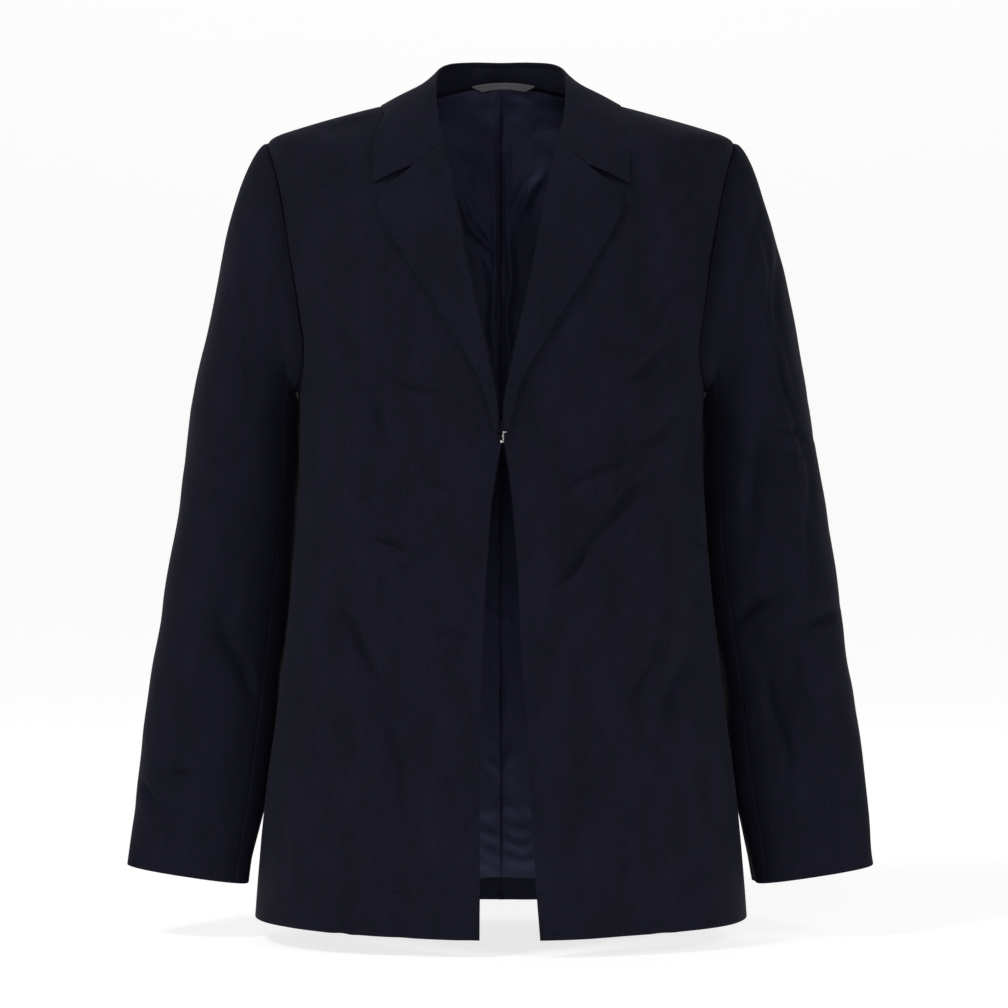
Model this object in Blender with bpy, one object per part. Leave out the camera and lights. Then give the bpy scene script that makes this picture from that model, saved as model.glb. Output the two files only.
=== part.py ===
"""A long, open suit jacket with notched lapels, filled out as if it were worn.

Metres, +Z up, the front faces -Y and the wearer's left is +X. The origin is at the base of the
neck, midway between the two points where the shoulder seams meet the collar.

Each cut piece is its own closed wall. The body pieces lie on one form, a stack of rings that runs
from the hem over the shoulders to the neck. A place on it is given by two numbers: around, the
angle from the centre back (0) over the side (pi/2) to the centre front (pi), and up, which grows
from 0 at the hem along the cloth. What lies on a panel is made from the form's points, moved out
or in along its normals.
"""

from math import pi

import bpy
import numpy as np

# Thicknesses of the walls and the gap that separates two pieces at a seam
SHELL = 0.0016
DOUBLED = 0.0020
LINING = 0.0010
SEAM = 0.0003

# How far the inner layers lie below the outer face of the shell
TURN_DEPTH = SHELL + SEAM
LINING_DEPTH = TURN_DEPTH + LINING + SEAM + 0.0004

# Levels on the form, as its up number
BREAK_UP = 0.4060
UNDERARM_UP = 0.4500
TIP_UP = 0.6680
NECK_UP = 0.7950
TURN_INSET = 0.0015
LINING_HEM = 0.020
FACING_HEM = 0.006
SIDE_SEAM = pi / 2


def table(columns, *rows):
    """A dictionary of named columns, from rows of numbers."""
    return dict(zip(columns.split(), np.array(rows, float).T))


# Rings of the form. half is the half width; front and back are the depths before and behind the
# ring's own middle line; square is the superellipse's power; rounding softens the turn at a ring.
FORM = table(
    "up    half    side_z   side_y front   front_z  back    back_z   square rounding",
    (0.000, 0.2104, -0.6960, 0.004, 0.1190, -0.7010, 0.1100, -0.6990, 2.35, 0.020),
    (0.100, 0.2022, -0.5960, 0.004, 0.1200, -0.6010, 0.1080, -0.5990, 2.35, 0.020),
    (0.190, 0.1900, -0.5060, 0.004, 0.1200, -0.5110, 0.0980, -0.5090, 2.35, 0.020),
    (0.300, 0.1770, -0.3960, 0.004, 0.1210, -0.4000, 0.0840, -0.3980, 2.35, 0.020),
    (0.400, 0.1715, -0.2970, 0.004, 0.1250, -0.2990, 0.0880, -0.2980, 2.35, 0.020),
    (0.460, 0.1745, -0.2370, 0.003, 0.1240, -0.2390, 0.0940, -0.2380, 2.35, 0.015),
    (0.530, 0.1835, -0.1680, 0.002, 0.1150, -0.1700, 0.0990, -0.1680, 2.35, 0.015),
    (0.600, 0.1935, -0.0990, 0.001, 0.1010, -0.1180, 0.0980, -0.1000, 2.30, 0.015),
    (0.668, 0.2030, -0.0335, 0.000, 0.0880, -0.0900, 0.0890, -0.0450, 2.20, 0.005),
    (0.715, 0.1510, -0.0180, 0.001, 0.0770, -0.0740, 0.0800, -0.0120, 2.15, 0.012),
    (0.764, 0.1000, -0.0040, 0.002, 0.0660, -0.0620, 0.0710, 0.0080, 2.10, 0.010),
    (0.795, 0.0680, 0.0040, 0.003, 0.0590, -0.0540, 0.0620, 0.0205, 2.10, 0.004),
    (0.815, 0.0560, 0.0250, 0.006, 0.0540, -0.0480, 0.0570, 0.0405, 2.20, 0.004),
)

# The edge of the armhole: how far it reaches round from the side, in radians, at each level.
ARMHOLE = table(
    "up    front  back",
    (0.450, 0.000, 0.000),
    (0.453, 0.130, 0.130),
    (0.463, 0.250, 0.245),
    (0.483, 0.305, 0.310),
    (0.512, 0.288, 0.325),
    (0.560, 0.246, 0.290),
    (0.600, 0.206, 0.242),
    (0.634, 0.160, 0.184),
    (0.656, 0.102, 0.114),
    (0.665, 0.050, 0.054),
    (0.668, 0.000, 0.000),
)

ARMHOLE_RADIUS = 0.18

# The front edges below the fastening: how far each hangs from the middle. The wearer's right
# front hangs nearly straight, and the left one swings away.
FRONT_EDGE = table(
    "z       right   left",
    (-0.7100, 0.0187, 0.0335),
    (-0.6655, 0.0182, 0.0301),
    (-0.5988, 0.0187, 0.0260),
    (-0.5289, 0.0171, 0.0220),
    (-0.4589, 0.0155, 0.0171),
    (-0.4028, 0.0130, 0.0150),
    (-0.3466, 0.0088, 0.0105),
    (-0.3100, 0.0032, 0.0062),
    (-0.2900, -0.0006, 0.0024),
)

# The line on which each front folds back into its lapel, from the fastening to the neck.
ROLL_LINE = table(
    "x       z",
    (0.0016, -0.2930),
    (0.0020, -0.2710),
    (0.0096, -0.2267),
    (0.0201, -0.1776),
    (0.0278, -0.1406),
    (0.0350, -0.1012),
    (0.0440, -0.0625),
    (0.0483, -0.0487),
    (0.0520, -0.0240),
)

# The free edge of the lapel, from the fastening to its rounded tip.
LAPEL_EDGE = table(
    "x       z",
    (0.0030, -0.2850),
    (0.0175, -0.2422),
    (0.0352, -0.2110),
    (0.0568, -0.1760),
    (0.0808, -0.1370),
    (0.0960, -0.1090),
    (0.1012, -0.0965),
    (0.1000, -0.0885),
)
GORGE_IN = (0.0483, -0.0492)
NOTCH = (0.0714, -0.0668)

# The crease of the collar, from the centre back round to where the lapel takes over.
COLLAR_FOLD = table(
    "x       y       z",
    (0.0000, 0.0600, 0.0410),
    (0.0280, 0.0560, 0.0408),
    (0.0450, 0.0440, 0.0380),
    (0.0540, 0.0240, 0.0310),
    (0.0565, 0.0040, 0.0215),
    (0.0562, -0.0180, 0.0080),
    (0.0548, -0.0330, -0.0065),
    (0.0530, -0.0460, -0.0220),
)
# Where the collar starts, on the neck seam and then on the roll line, as places on the form.
COLLAR_FOOT = table("around up", (0.0, 0.795), (0.8, 0.795), (1.57, 0.795), (2.05, 0.795))
COLLAR_FOOT_FRONT = table("x z", (0.0518, -0.0260), (0.0483, -0.0485))
# The collar's free edge behind the shoulder as places on the form, and before it as seen from
# the front, down to its point.
COLLAR_EDGE = table("around up", (0.0, 0.739), (0.75, 0.742), (1.45, 0.764), (1.9, 0.753))
COLLAR_EDGE_FRONT = table("x z", (0.1034, -0.0338), (0.1066, -0.0567), (0.1060, -0.0786))
COLLAR_LIFT = 0.0046
COLLAR_RADIUS = 0.08
STAND_END = 0.74

# The sleeve below its head: half widths across and along Y of its rings, from the biceps to the
# cuff, where each ring's middle lies, and how far its front leans in over the chest.
SLEEVE = table(
    "z       out     fore    half_width half_depth lean   rounding",
    (-0.2700, 0.2202, 0.0230, 0.0468, 0.0640, 0.0010, 0.03),
    (-0.3250, 0.2218, 0.0310, 0.0531, 0.0615, 0.0010, 0.03),
    (-0.3800, 0.2299, 0.0350, 0.0556, 0.0590, 0.0010, 0.03),
    (-0.4700, 0.2426, 0.0330, 0.0568, 0.0510, 0.0010, 0.03),
    (-0.5600, 0.2552, 0.0290, 0.0576, 0.0400, 0.0010, 0.03),
    (-0.6610, 0.2670, 0.0070, 0.0553, 0.0290, 0.0010, 0.03),
)
SLEEVE_TILT = 0.150
SLEEVE_SQUARE = 2.4
HEAD_LEAN = 0.185
INNER_LEAN = 0.170
HEAD_SHARE = 0.36
FORE_SEAM = 2.34
HIND_SEAM = -1.80
SLEEVE_GAP = 0.016

# The largest folds of the cloth, seen from the front or the back: a row runs from one end to the
# other of a soft trough (negative) or ridge (positive) of this width and height.
BODY_FOLDS = table(
    "side face  x0      z0       x1      z1       width  height",
    (-1, -1, 0.139, -0.310, 0.101, -0.352, 0.008, 0.0030),
    (-1, -1, 0.134, -0.428, 0.094, -0.505, 0.009, -0.0035),
    (-1, -1, 0.094, -0.505, 0.079, -0.610, 0.009, -0.0030),
    (-1, -1, 0.111, -0.246, 0.082, -0.312, 0.008, -0.0025),
    (-1, -1, 0.150, -0.536, 0.135, -0.556, 0.008, -0.0025),
    (-1, -1, 0.090, -0.610, 0.080, -0.695, 0.014, -0.0030),
    (1, -1, 0.115, -0.330, 0.075, -0.372, 0.009, -0.0035),
    (1, -1, 0.075, -0.372, 0.048, -0.412, 0.009, -0.0035),
    (1, -1, 0.142, -0.220, 0.095, -0.252, 0.008, -0.0025),
    (1, -1, 0.146, -0.271, 0.050, -0.334, 0.008, -0.0022),
    (1, -1, 0.128, -0.448, 0.103, -0.506, 0.009, -0.0030),
    (1, -1, 0.152, -0.466, 0.126, -0.522, 0.010, -0.0030),
    (1, -1, 0.157, -0.637, 0.130, -0.690, 0.012, -0.0028),
    (-1, 1, 0.120, -0.260, 0.055, -0.330, 0.010, -0.0030),
    (-1, 1, 0.110, -0.420, 0.060, -0.400, 0.012, -0.0028),
    (1, 1, 0.125, -0.280, 0.060, -0.345, 0.010, -0.0030),
    (1, 1, 0.100, -0.405, 0.050, -0.425, 0.012, -0.0028),
    (1, 1, 0.090, -0.560, 0.070, -0.690, 0.014, -0.0028),
)
SLEEVE_FOLDS = table(
    "side face  x0      z0       x1      z1       width  height",
    (-1, -1, 0.239, -0.452, 0.209, -0.507, 0.010, -0.0050),
    (-1, -1, 0.311, -0.584, 0.264, -0.612, 0.008, -0.0035),
    (-1, -1, 0.291, -0.573, 0.258, -0.577, 0.009, -0.0025),
    (1, -1, 0.226, -0.491, 0.245, -0.573, 0.009, -0.0040),
    (1, -1, 0.199, -0.442, 0.231, -0.425, 0.009, -0.0040),
    (1, -1, 0.260, -0.452, 0.287, -0.436, 0.009, -0.0030),
    (1, -1, 0.220, -0.282, 0.209, -0.376, 0.012, -0.0035),
    (1, -1, 0.231, -0.282, 0.265, -0.287, 0.008, -0.0025),
    (-1, 1, 0.210, -0.330, 0.262, -0.360, 0.010, -0.0035),
    (-1, 1, 0.215, -0.430, 0.275, -0.455, 0.010, -0.0040),
    (1, 1, 0.212, -0.345, 0.266, -0.372, 0.010, -0.0035),
    (1, 1, 0.218, -0.445, 0.270, -0.432, 0.010, -0.0040),
)
LINING_CRUMPLES = table(
    "x0      z0       x1      z1       width  height",
    (0.004, -0.664, 0.150, -0.655, 0.007, -0.0022),
    (0.004, -0.640, 0.110, -0.646, 0.006, -0.0020),
    (0.004, -0.615, 0.130, -0.610, 0.006, -0.0018),
    (0.030, -0.585, 0.120, -0.594, 0.007, -0.0018),
    (0.003, -0.010, 0.003, -0.240, 0.004, -0.0026),
)


def rounded_line(knots, values, rounding, at):
    """The broken line through the knots with each corner eased, as a sum of softplus terms."""
    slope = np.diff(values) / np.diff(knots)
    line = values[0] + slope[0] * (at - knots[0])
    for k in range(1, len(knots) - 1):
        turn = slope[k] - slope[k - 1]
        line = line + turn * rounding[k] * np.logaddexp(0, (at - knots[k]) / rounding[k])
    return line


def hermite(knots, points, at):
    """A smooth curve through the points, as cubic Hermite pieces between their knots."""
    slopes = np.gradient(points, knots, axis=0)
    k = np.clip(np.searchsorted(knots, at, side="right") - 1, 0, len(knots) - 2)
    step = (knots[k + 1] - knots[k])[..., None]
    t = (at - knots[k])[..., None] / step
    return (
        (2 * t**3 - 3 * t**2 + 1) * points[k]
        + (t**3 - 2 * t**2 + t) * step * slopes[k]
        + (3 * t**2 - 2 * t**3) * points[k + 1]
        + (t**3 - t**2) * step * slopes[k + 1]
    )


def smooth_curve(points, at):
    """A smooth curve through the points, at from 0 to 1 by chord length."""
    points = np.asarray(points, float)
    chords = np.linalg.norm(np.diff(points, axis=0), axis=1)
    knots = np.concatenate([[0], np.cumsum(chords)]) / chords.sum()
    return hermite(knots, points, np.asarray(at, float))


def unit(vectors):
    return vectors / np.linalg.norm(vectors, axis=-1, keepdims=True)


def ring_sizes(up):
    """The form's sizes at this level, each read from its eased broken line."""
    names = ("half", "side_z", "side_y", "front", "front_z", "back", "back_z", "square")
    return {n: rounded_line(FORM["up"], FORM[n], FORM["rounding"], up) for n in names}


def form(around, up):
    """A place on the form: |x/half|^p + |y/depth|^p = 1, with z easing from the side's to the
    front's or back's level as the square of the cosine of the angle."""
    around, up = np.broadcast_arrays(np.asarray(around, float), np.asarray(up, float))
    size = ring_sizes(up)
    sine, cosine = np.sin(around), np.cos(around)
    before = cosine < 0
    depth = np.where(before, size["front"], size["back"])
    level = np.where(before, size["front_z"], size["back_z"])
    power = size["square"]
    reach = (np.abs(sine / size["half"]) ** power + np.abs(cosine / depth) ** power) ** (-1 / power)
    height = size["side_z"] * sine**2 + level * cosine**2
    return np.stack([reach * sine, size["side_y"] + reach * cosine, height], -1)


def form_normal(around, up):
    """The outward normal of the form, from the cross product of its two slopes."""
    step = 1e-4
    along = form(around, up + step) - form(around, up - step)
    across = form(around + step, up) - form(around - step, up)
    return unit(np.cross(along, across))


def front_angle(x, up):
    """The angle at which the front of the form's ring at this level is x from the middle."""
    size = ring_sizes(up)
    depth = size["front"] * (1 - np.abs(x / size["half"]) ** size["square"]) ** (1 / size["square"])
    return pi - np.arctan2(x, depth)


def on_front(x, z):
    """The place on the front of the form, as around and up, that shows at x and z."""
    x, z = np.asarray(x, float), np.asarray(z, float)
    step = 1e-5
    up = np.clip(z + 0.70, 0, 0.78)
    for _ in range(60):
        height = form(front_angle(x, up), up)[..., 2]
        slope = (form(front_angle(x, up + step), up + step)[..., 2] - height) / step
        up = up - np.clip((height - z) / slope, -0.01, 0.01)
    return np.stack([front_angle(x, up), up], -1)


def fold_height(folds, x, z, side=None, face=None):
    """The height of all folds at x and z: each falls off as a bell across its line and fades
    towards its two ends."""
    total = np.zeros(np.shape(x))
    for k in range(len(folds["x0"])):
        if side is not None and folds["side"][k] != side:
            continue
        along = np.array([folds["x1"][k] - folds["x0"][k], folds["z1"][k] - folds["z0"][k]])
        length = np.hypot(*along)
        from_start = np.stack([x - folds["x0"][k], z - folds["z0"][k]], -1)
        share = np.clip(from_start @ along / length**2, 0, 1)
        off = np.linalg.norm(from_start - share[..., None] * along, axis=-1) / folds["width"][k]
        bell = folds["height"][k] * np.exp(-(off**2)) * (0.35 + 0.65 * np.sin(pi * share))
        total += bell if face is None else bell * np.where(face * folds["face"][k] > 0, 1, 0)
    return total


def body_layer(places, side, depth=0.0, extra=0.0):
    """Points of the body's cloth at these places: the form with its folds, moved in by depth."""
    around, up = places[..., 0], places[..., 1]
    base = form(around, up)
    face = np.where(np.cos(around) < 0, -1, 1)
    push = fold_height(BODY_FOLDS, base[..., 0], base[..., 2], side, face)
    push = push * np.clip(np.abs(np.cos(around)) * 3, 0, 1)
    points = base + form_normal(around, up) * (push - depth + extra)[..., None]
    return points * np.array([side, 1, 1])


def join_rows(first, last, shares):
    """Places in rows that run straight from each place of one edge to that of the other."""
    shares = np.asarray(shares)[None, :, None]
    return first[:, None] * (1 - shares) + last[:, None] * shares


def finish(name, hexcode, roughness, metallic=0.0):
    """A plain material: its sRGB colour turned to linear, its roughness and metallic value."""
    material = bpy.data.materials.new(name)
    material.use_nodes = True
    srgb = np.array([int(hexcode[k : k + 2], 16) for k in (0, 2, 4)]) / 255
    linear = np.where(srgb <= 0.04045, srgb / 12.92, ((srgb + 0.055) / 1.055) ** 2.4)
    shader = material.node_tree.nodes["Principled BSDF"]
    shader.inputs["Base Color"].default_value = (*linear, 1)
    shader.inputs["Roughness"].default_value = roughness
    shader.inputs["Metallic"].default_value = metallic
    material.diffuse_color = (*linear, 1)
    return material


def wall(name, outer, inner, material):
    """A closed wall between two grids of points: both faces, and a strip along each of the four
    edges."""
    rows, columns = outer.shape[:2]
    index = np.arange(rows * columns).reshape(rows, columns)
    below = index + rows * columns
    quads = [index[:-1, :-1], index[1:, :-1], index[1:, 1:], index[:-1, 1:]]
    faces = np.stack(quads, -1).reshape(-1, 4)
    rim = np.concatenate([index[0, :-1], index[:-1, -1], index[-1, :0:-1], index[:0:-1, 0]])
    after = np.roll(rim, -1)
    strip = np.stack([rim, after, after + rows * columns, rim + rows * columns], -1)
    back = faces[:, [0, 3, 2, 1]] + below[0, 0]
    mesh = bpy.data.meshes.new(name)
    points = np.concatenate([outer.reshape(-1, 3), inner.reshape(-1, 3)])
    mesh.from_pydata(points.tolist(), [], np.concatenate([faces, back, strip]).tolist())
    first = points[faces]
    spread = np.cross(first[:, 1] - first[:, 0], first[:, 2] - first[:, 0])
    if (spread * (outer - inner).reshape(-1, 3)[faces[:, 0]]).sum() < 0:
        mesh.flip_normals()
    mesh.materials.append(material)
    mesh.shade_smooth()
    mesh.set_sharp_from_angle(angle=1.0)
    piece = bpy.data.objects.new(name, mesh)
    bpy.context.scene.collection.objects.link(piece)
    return piece


def body_wall(name, places, side, depth, thickness, material, extra=0.0):
    """A wall of the body's cloth, from its outer face at this depth inwards."""
    outer = body_layer(places, side, depth, extra)
    inner = body_layer(places, side, depth + thickness, extra)
    return wall(name, outer, inner, material)


def place_curve(places, radius, shares):
    """A smooth curve through places on the form, at shares of its length where the form has
    about this radius."""
    scale = np.array([radius, 1])
    return smooth_curve(places * scale, shares) / scale


def armhole_edge(face, shares):
    """The armhole's edge at these shares of its length from the underarm to the shoulder tip, on
    the front (1) or the back (-1), as places on the form."""
    reach = ARMHOLE["front"] if face > 0 else ARMHOLE["back"]
    around = SIDE_SEAM + face * reach
    return place_curve(np.stack([around, ARMHOLE["up"]], -1), ARMHOLE_RADIUS, shares)


LOWER_ROWS, ARM_ROWS, SHOULDER_ROWS = 12, 9, 5


def levels(low, underarm, tip, neck):
    """Numbers that run through these four values, one for each row of a body panel."""
    return np.concatenate(
        [
            np.linspace(low, underarm, LOWER_ROWS + 1),
            np.linspace(underarm, tip, ARM_ROWS + 1)[1:],
            np.linspace(tip, neck, SHOULDER_ROWS + 1)[1:],
        ]
    )


def seam_angle(up):
    """Half the gap of a seam that runs up the side, as an angle round the form."""
    return 0.7 * SEAM / ring_sizes(up)["half"]


def side_edge(face):
    """The edge of a panel at the side: the side seam, the armhole and the shoulder seam."""
    seam_up = np.linspace(0, UNDERARM_UP, LOWER_ROWS + 1)[:-1]
    shoulder_up = np.linspace(TIP_UP, NECK_UP, SHOULDER_ROWS + 1)[1:]
    edge = np.concatenate(
        [
            np.stack([np.full(LOWER_ROWS, SIDE_SEAM), seam_up], -1),
            armhole_edge(face, np.linspace(0, 1, ARM_ROWS + 1)),
            np.stack([np.full(SHOULDER_ROWS, SIDE_SEAM), shoulder_up], -1),
        ]
    )
    edge[:, 0] += face * seam_angle(edge[:, 1])
    return edge


def front_inner_edge(side):
    """The edge of a front towards the middle: the free edge, then the roll line."""
    column = FRONT_EDGE["left"] if side > 0 else FRONT_EDGE["right"]
    free_up = np.linspace(0, BREAK_UP, LOWER_ROWS + 1)[:-1]
    heights = form(pi - 0.1, free_up)[:, 2]
    x = np.interp(heights, FRONT_EDGE["z"], column)
    free = np.stack([front_angle(x, free_up), free_up], -1)
    shares = np.linspace(0, 1, ARM_ROWS + SHOULDER_ROWS + 1)
    line = smooth_curve(np.stack([ROLL_LINE["x"], ROLL_LINE["z"]], -1), shares)
    line[0, 0] = column[-1]
    return np.concatenate([free, on_front(line[:, 0], line[:, 1])])


def back_inner_edge():
    """The centre back seam."""
    up = levels(0, UNDERARM_UP, TIP_UP, NECK_UP)
    return np.stack([0.7 * SEAM / form(0.0, up)[:, 1], up], -1)


FRONT_COLUMNS = np.array([0, 0.03, 0.09, 0.17, 0.26, 0.35, 0.45, 0.55, 0.65, 0.75, 0.84, 0.92, 1])
BACK_COLUMNS = np.linspace(0, 1, 10)
FACING_COLUMN = 4


def raised(places, low):
    """The same places with the hem row raised to this level, for a layer that ends above it."""
    share = (low - places[0, :, 1]) / (places[1, :, 1] - places[0, :, 1])
    start = places[0] + (places[1] - places[0]) * share[:, None]
    return np.concatenate([start[None], places[1:]])


def narrowed(places, first, last):
    """The same places with the first and last columns moved in by these shares of the way to
    their neighbours."""
    moved = places.copy()
    moved[:, 0] += (places[:, 1] - places[:, 0]) * first
    moved[:, -1] += (places[:, -2] - places[:, -1]) * last
    return moved


def build_body(side, word, cloth, lining_cloth):
    """The front, back, facing, linings and turned-up hem of one side."""
    front = join_rows(front_inner_edge(side), side_edge(1), FRONT_COLUMNS)
    back = join_rows(back_inner_edge(), side_edge(-1), BACK_COLUMNS)
    body_wall("front_" + word, front, side, 0, SHELL, cloth)
    body_wall("back_" + word, back, side, 0, SHELL, cloth)

    facing = narrowed(raised(front[:, : FACING_COLUMN + 1], FACING_HEM), 0.1, 0.012)
    body_wall("facing_" + word, facing, side, LINING_DEPTH, LINING, cloth)
    front_lining = narrowed(raised(front[:, FACING_COLUMN:], LINING_HEM), 0.012, 0.04)
    body_wall("lining_front_" + word, front_lining, side, LINING_DEPTH, LINING, lining_cloth)

    back_lining = narrowed(raised(back, LINING_HEM), 0, 0.04)
    base = form(back_lining[..., 0], back_lining[..., 1])
    crumple = fold_height(LINING_CRUMPLES, base[..., 0], base[..., 2])
    body_wall("lining_back_" + word, back_lining, side, LINING_DEPTH, LINING, lining_cloth, crumple)

    front_turn = narrowed(raised(front[:2, FACING_COLUMN:], TURN_INSET), 0.012, 0)
    body_wall("turn_front_" + word, front_turn, side, TURN_DEPTH, LINING, cloth)
    back_turn = raised(back[:2], TURN_INSET)
    body_wall("turn_back_" + word, back_turn, side, TURN_DEPTH, LINING, cloth)


LAPEL_ROWS = 17
LAPEL_COLUMNS = np.array([0, 0.12, 0.28, 0.46, 0.64, 0.82, 1])
LAPEL_START_IN = (0.0030, -0.2850)
LAPEL_START_OUT = (0.0042, -0.2848)
LAPEL_BELLY = 0.0030
LAPEL_TILT = 0.0012


def build_lapel(side, word, cloth):
    """The lapel: the front's points between the roll line and the lapel's free edge, moved out,
    with a soft belly along the roll."""
    shares = np.linspace(0, 1, LAPEL_ROWS)
    roll = np.stack([ROLL_LINE["x"], ROLL_LINE["z"]], -1)[:-1]
    roll[0], roll[-1] = LAPEL_START_IN, GORGE_IN
    inner = smooth_curve(roll, shares)
    edge = np.stack([LAPEL_EDGE["x"], LAPEL_EDGE["z"]], -1)
    edge[0] = LAPEL_START_OUT
    outer = smooth_curve(edge, shares)
    seen = join_rows(inner, outer, LAPEL_COLUMNS)
    places = on_front(seen[..., 0], seen[..., 1])
    belly = LAPEL_BELLY * np.sin(pi * np.minimum(LAPEL_COLUMNS / 0.9, 1)) ** 0.8
    lift = 2 * SEAM + DOUBLED + belly + LAPEL_TILT * LAPEL_COLUMNS
    lift = lift[None, :] * np.ones((len(shares), 1))
    body_wall("lapel_" + word, places, side, -lift, DOUBLED, cloth)


def collar_places(back, front, stations):
    """Places along one edge of the collar: a smooth curve through its places behind the
    shoulder and those seen from the front."""
    behind = np.stack([back["around"], back["up"]], -1)
    rows = np.concatenate([behind, on_front(front["x"], front["z"])])
    return place_curve(rows, COLLAR_RADIUS, stations)


def lifted(places, lift):
    """Points of the form moved out by lift."""
    around, up = places[..., 0], places[..., 1]
    return form(around, up) + form_normal(around, up) * np.asarray(lift)[..., None]


def collar_crease(foot):
    """The crease, above each place of the foot at the same angle about the neck: a smooth curve
    through its table that ends on the roll line."""
    last = lifted(foot[-1], COLLAR_LIFT)
    fold = np.concatenate([np.stack([COLLAR_FOLD[c] for c in "xyz"], -1), last[None]])
    angles = np.arctan2(fold[:, 0], fold[:, 1])
    base = form(foot[:, 0], foot[:, 1])
    return hermite(angles, fold, np.minimum(np.arctan2(base[:, 0], base[:, 1]), angles[-1]))


def both_sides(half):
    """Rows from the wearer's right, over the centre back, to the left, from those of the left."""
    return np.concatenate([(half * np.array([-1, 1, 1]))[:0:-1], half])


COLLAR_STATIONS = 17
# Rows down the leaf: the share of the way to its edge, and how far it turns to the notch there.
COLLAR_ROWS = table("down notch", (0, 0), (0.12, 0.3), (0.28, 0.65), (0.45, 1), (0.7, 0.5), (1, 0))
NOTCH_ROW = 3
COLLAR_FADE = 1.7
STAND_OVER_SEAM = 0.0020
STAND_SINK = 0.0002


def build_collar(cloth):
    """The stand, from the neck seam up to the crease, and the leaf, which lies on the form but
    for a rise that brings it up to the crease."""
    stations = np.linspace(0, 1, COLLAR_STATIONS)
    down = COLLAR_ROWS["down"]
    foot = collar_places(COLLAR_FOOT, COLLAR_FOOT_FRONT, stations)
    edge = collar_places(COLLAR_EDGE, COLLAR_EDGE_FRONT, stations)
    crease = collar_crease(foot)
    rise = crease - lifted(foot, COLLAR_LIFT)

    places = join_rows(foot, edge, down)
    notch = on_front(NOTCH[0], NOTCH[1] + 2 * SEAM) - places[-1, NOTCH_ROW]
    near_end = np.clip(stations * 4 - 3, 0, 1) ** 2
    places = places + near_end[:, None, None] * COLLAR_ROWS["notch"][:, None] * notch
    fade = (1 - down) ** COLLAR_FADE
    leaf = lifted(places, COLLAR_LIFT + 0 * places[..., 0]) + rise[:, None] * fade[:, None]
    leaf = both_sides(leaf)
    normal = unit(np.cross(np.gradient(leaf, axis=0), np.gradient(leaf, axis=1)))
    wall("collar", leaf, leaf - normal * DOUBLED, cloth)

    count = int(STAND_END * len(stations)) + 1
    middle = len(stations) - 1
    under = (leaf - normal * (DOUBLED + 2 * SEAM))[middle : middle + count, 0]
    seam_row = foot[:count] + np.array([0, STAND_OVER_SEAM])
    start = lifted(seam_row, np.full(count, -STAND_SINK))
    stand = join_rows(start, under, np.linspace(0, 1, 4))
    stand = both_sides(stand)
    normal = unit(np.cross(np.gradient(stand, axis=1), np.gradient(stand, axis=0)))
    wall("collar_stand", stand, stand - normal * SHELL, cloth)


LABEL_HALF = 0.0270
LABEL_TALL = 0.0070
LABEL_TOP = 0.0250
LABEL_Y = 0.0582
LABEL_LEAN = 0.3
LABEL_THICK = 0.0007
LABEL_BOW = 0.075
LABEL_ARCH = 0.0036
LABEL_SAG = 0.0050
LABEL_TAPER = 0.32
LABEL_END = 0.0010


def build_label(tape):
    """A bare strip across the inside of the back neck: it bows with the neck at a radius of
    LABEL_BOW, both its long edges arch, and its lower edge runs up to the tips."""
    across = np.linspace(-1, 1, 13)
    x = across * LABEL_HALF
    y = LABEL_Y - LABEL_BOW + np.sqrt(LABEL_BOW**2 - x**2)
    top = LABEL_TOP - LABEL_ARCH * across**2
    low = LABEL_TOP - LABEL_TALL - LABEL_SAG * across**2
    ends = np.clip((np.abs(across) - 1 + LABEL_TAPER) / LABEL_TAPER, 0, 1)
    low = low + (top - LABEL_END - low) * ends
    rows = np.array([0, 0.5, 1])[:, None]
    z = top - rows * (top - low)
    lean = (top - z) * LABEL_LEAN
    front = np.stack([x + 0 * z, y + lean, z], -1)
    wall("label", front, front + np.array([0, LABEL_THICK, 0]), tape)


WIRE = 0.0008
HOOK_AT = (0.0012, -0.1245, -0.2912)
BAR_HALF = 0.0038
BAR_END = 0.0019
HOOK_HALF = 0.0016


def wire_piece(name, points, metal):
    """A round wire with closed ends along a smooth curve through the points."""
    path = smooth_curve(points, np.linspace(0, 1, 4 * len(points)))
    curve = bpy.data.curves.new(name, "CURVE")
    curve.dimensions = "3D"
    curve.bevel_depth = WIRE
    curve.bevel_resolution = 2
    curve.use_fill_caps = True
    spline = curve.splines.new("POLY")
    spline.points.add(len(path) - 1)
    for point, place in zip(spline.points, path):
        point.co = (*place, 1)
    curve.materials.append(metal)
    piece = bpy.data.objects.new(name, curve)
    bpy.context.scene.collection.objects.link(piece)


def build_fastening(metal):
    """The bar of the eye, an upright wire whose ends turn into the two fronts, and the hook's
    small loop behind it."""
    x, y, z = HOOK_AT
    # Each end bends aside by BAR_END, and a little down and back.
    bend = np.array([0.0003, 0.0002])
    bar = [
        (x + BAR_END, y + bend[0], z + BAR_HALF + bend[1]),
        (x + BAR_END / 3, y, z + BAR_HALF),
        (x, y, z + BAR_HALF / 2),
        (x, y, z - BAR_HALF / 2),
        (x - BAR_END / 3, y, z - BAR_HALF),
        (x - BAR_END, y + bend[0], z - BAR_HALF - bend[1]),
    ]
    wire_piece("fastening_bar", bar, metal)
    back = y + 2 * WIRE + 2 * SEAM
    loop = [(x + HOOK_HALF, back, z), (x, back, z), (x - HOOK_HALF, back, z)]
    wire_piece("fastening_hook", loop, metal)


def sleeve_ring(z):
    """The middle and the half sizes of the sleeve's ring at this level."""
    knots = -SLEEVE["z"]
    names = ("out", "fore", "half_width", "half_depth", "lean")
    return [rounded_line(knots, SLEEVE[n], SLEEVE["rounding"], -z) for n in names]


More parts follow.
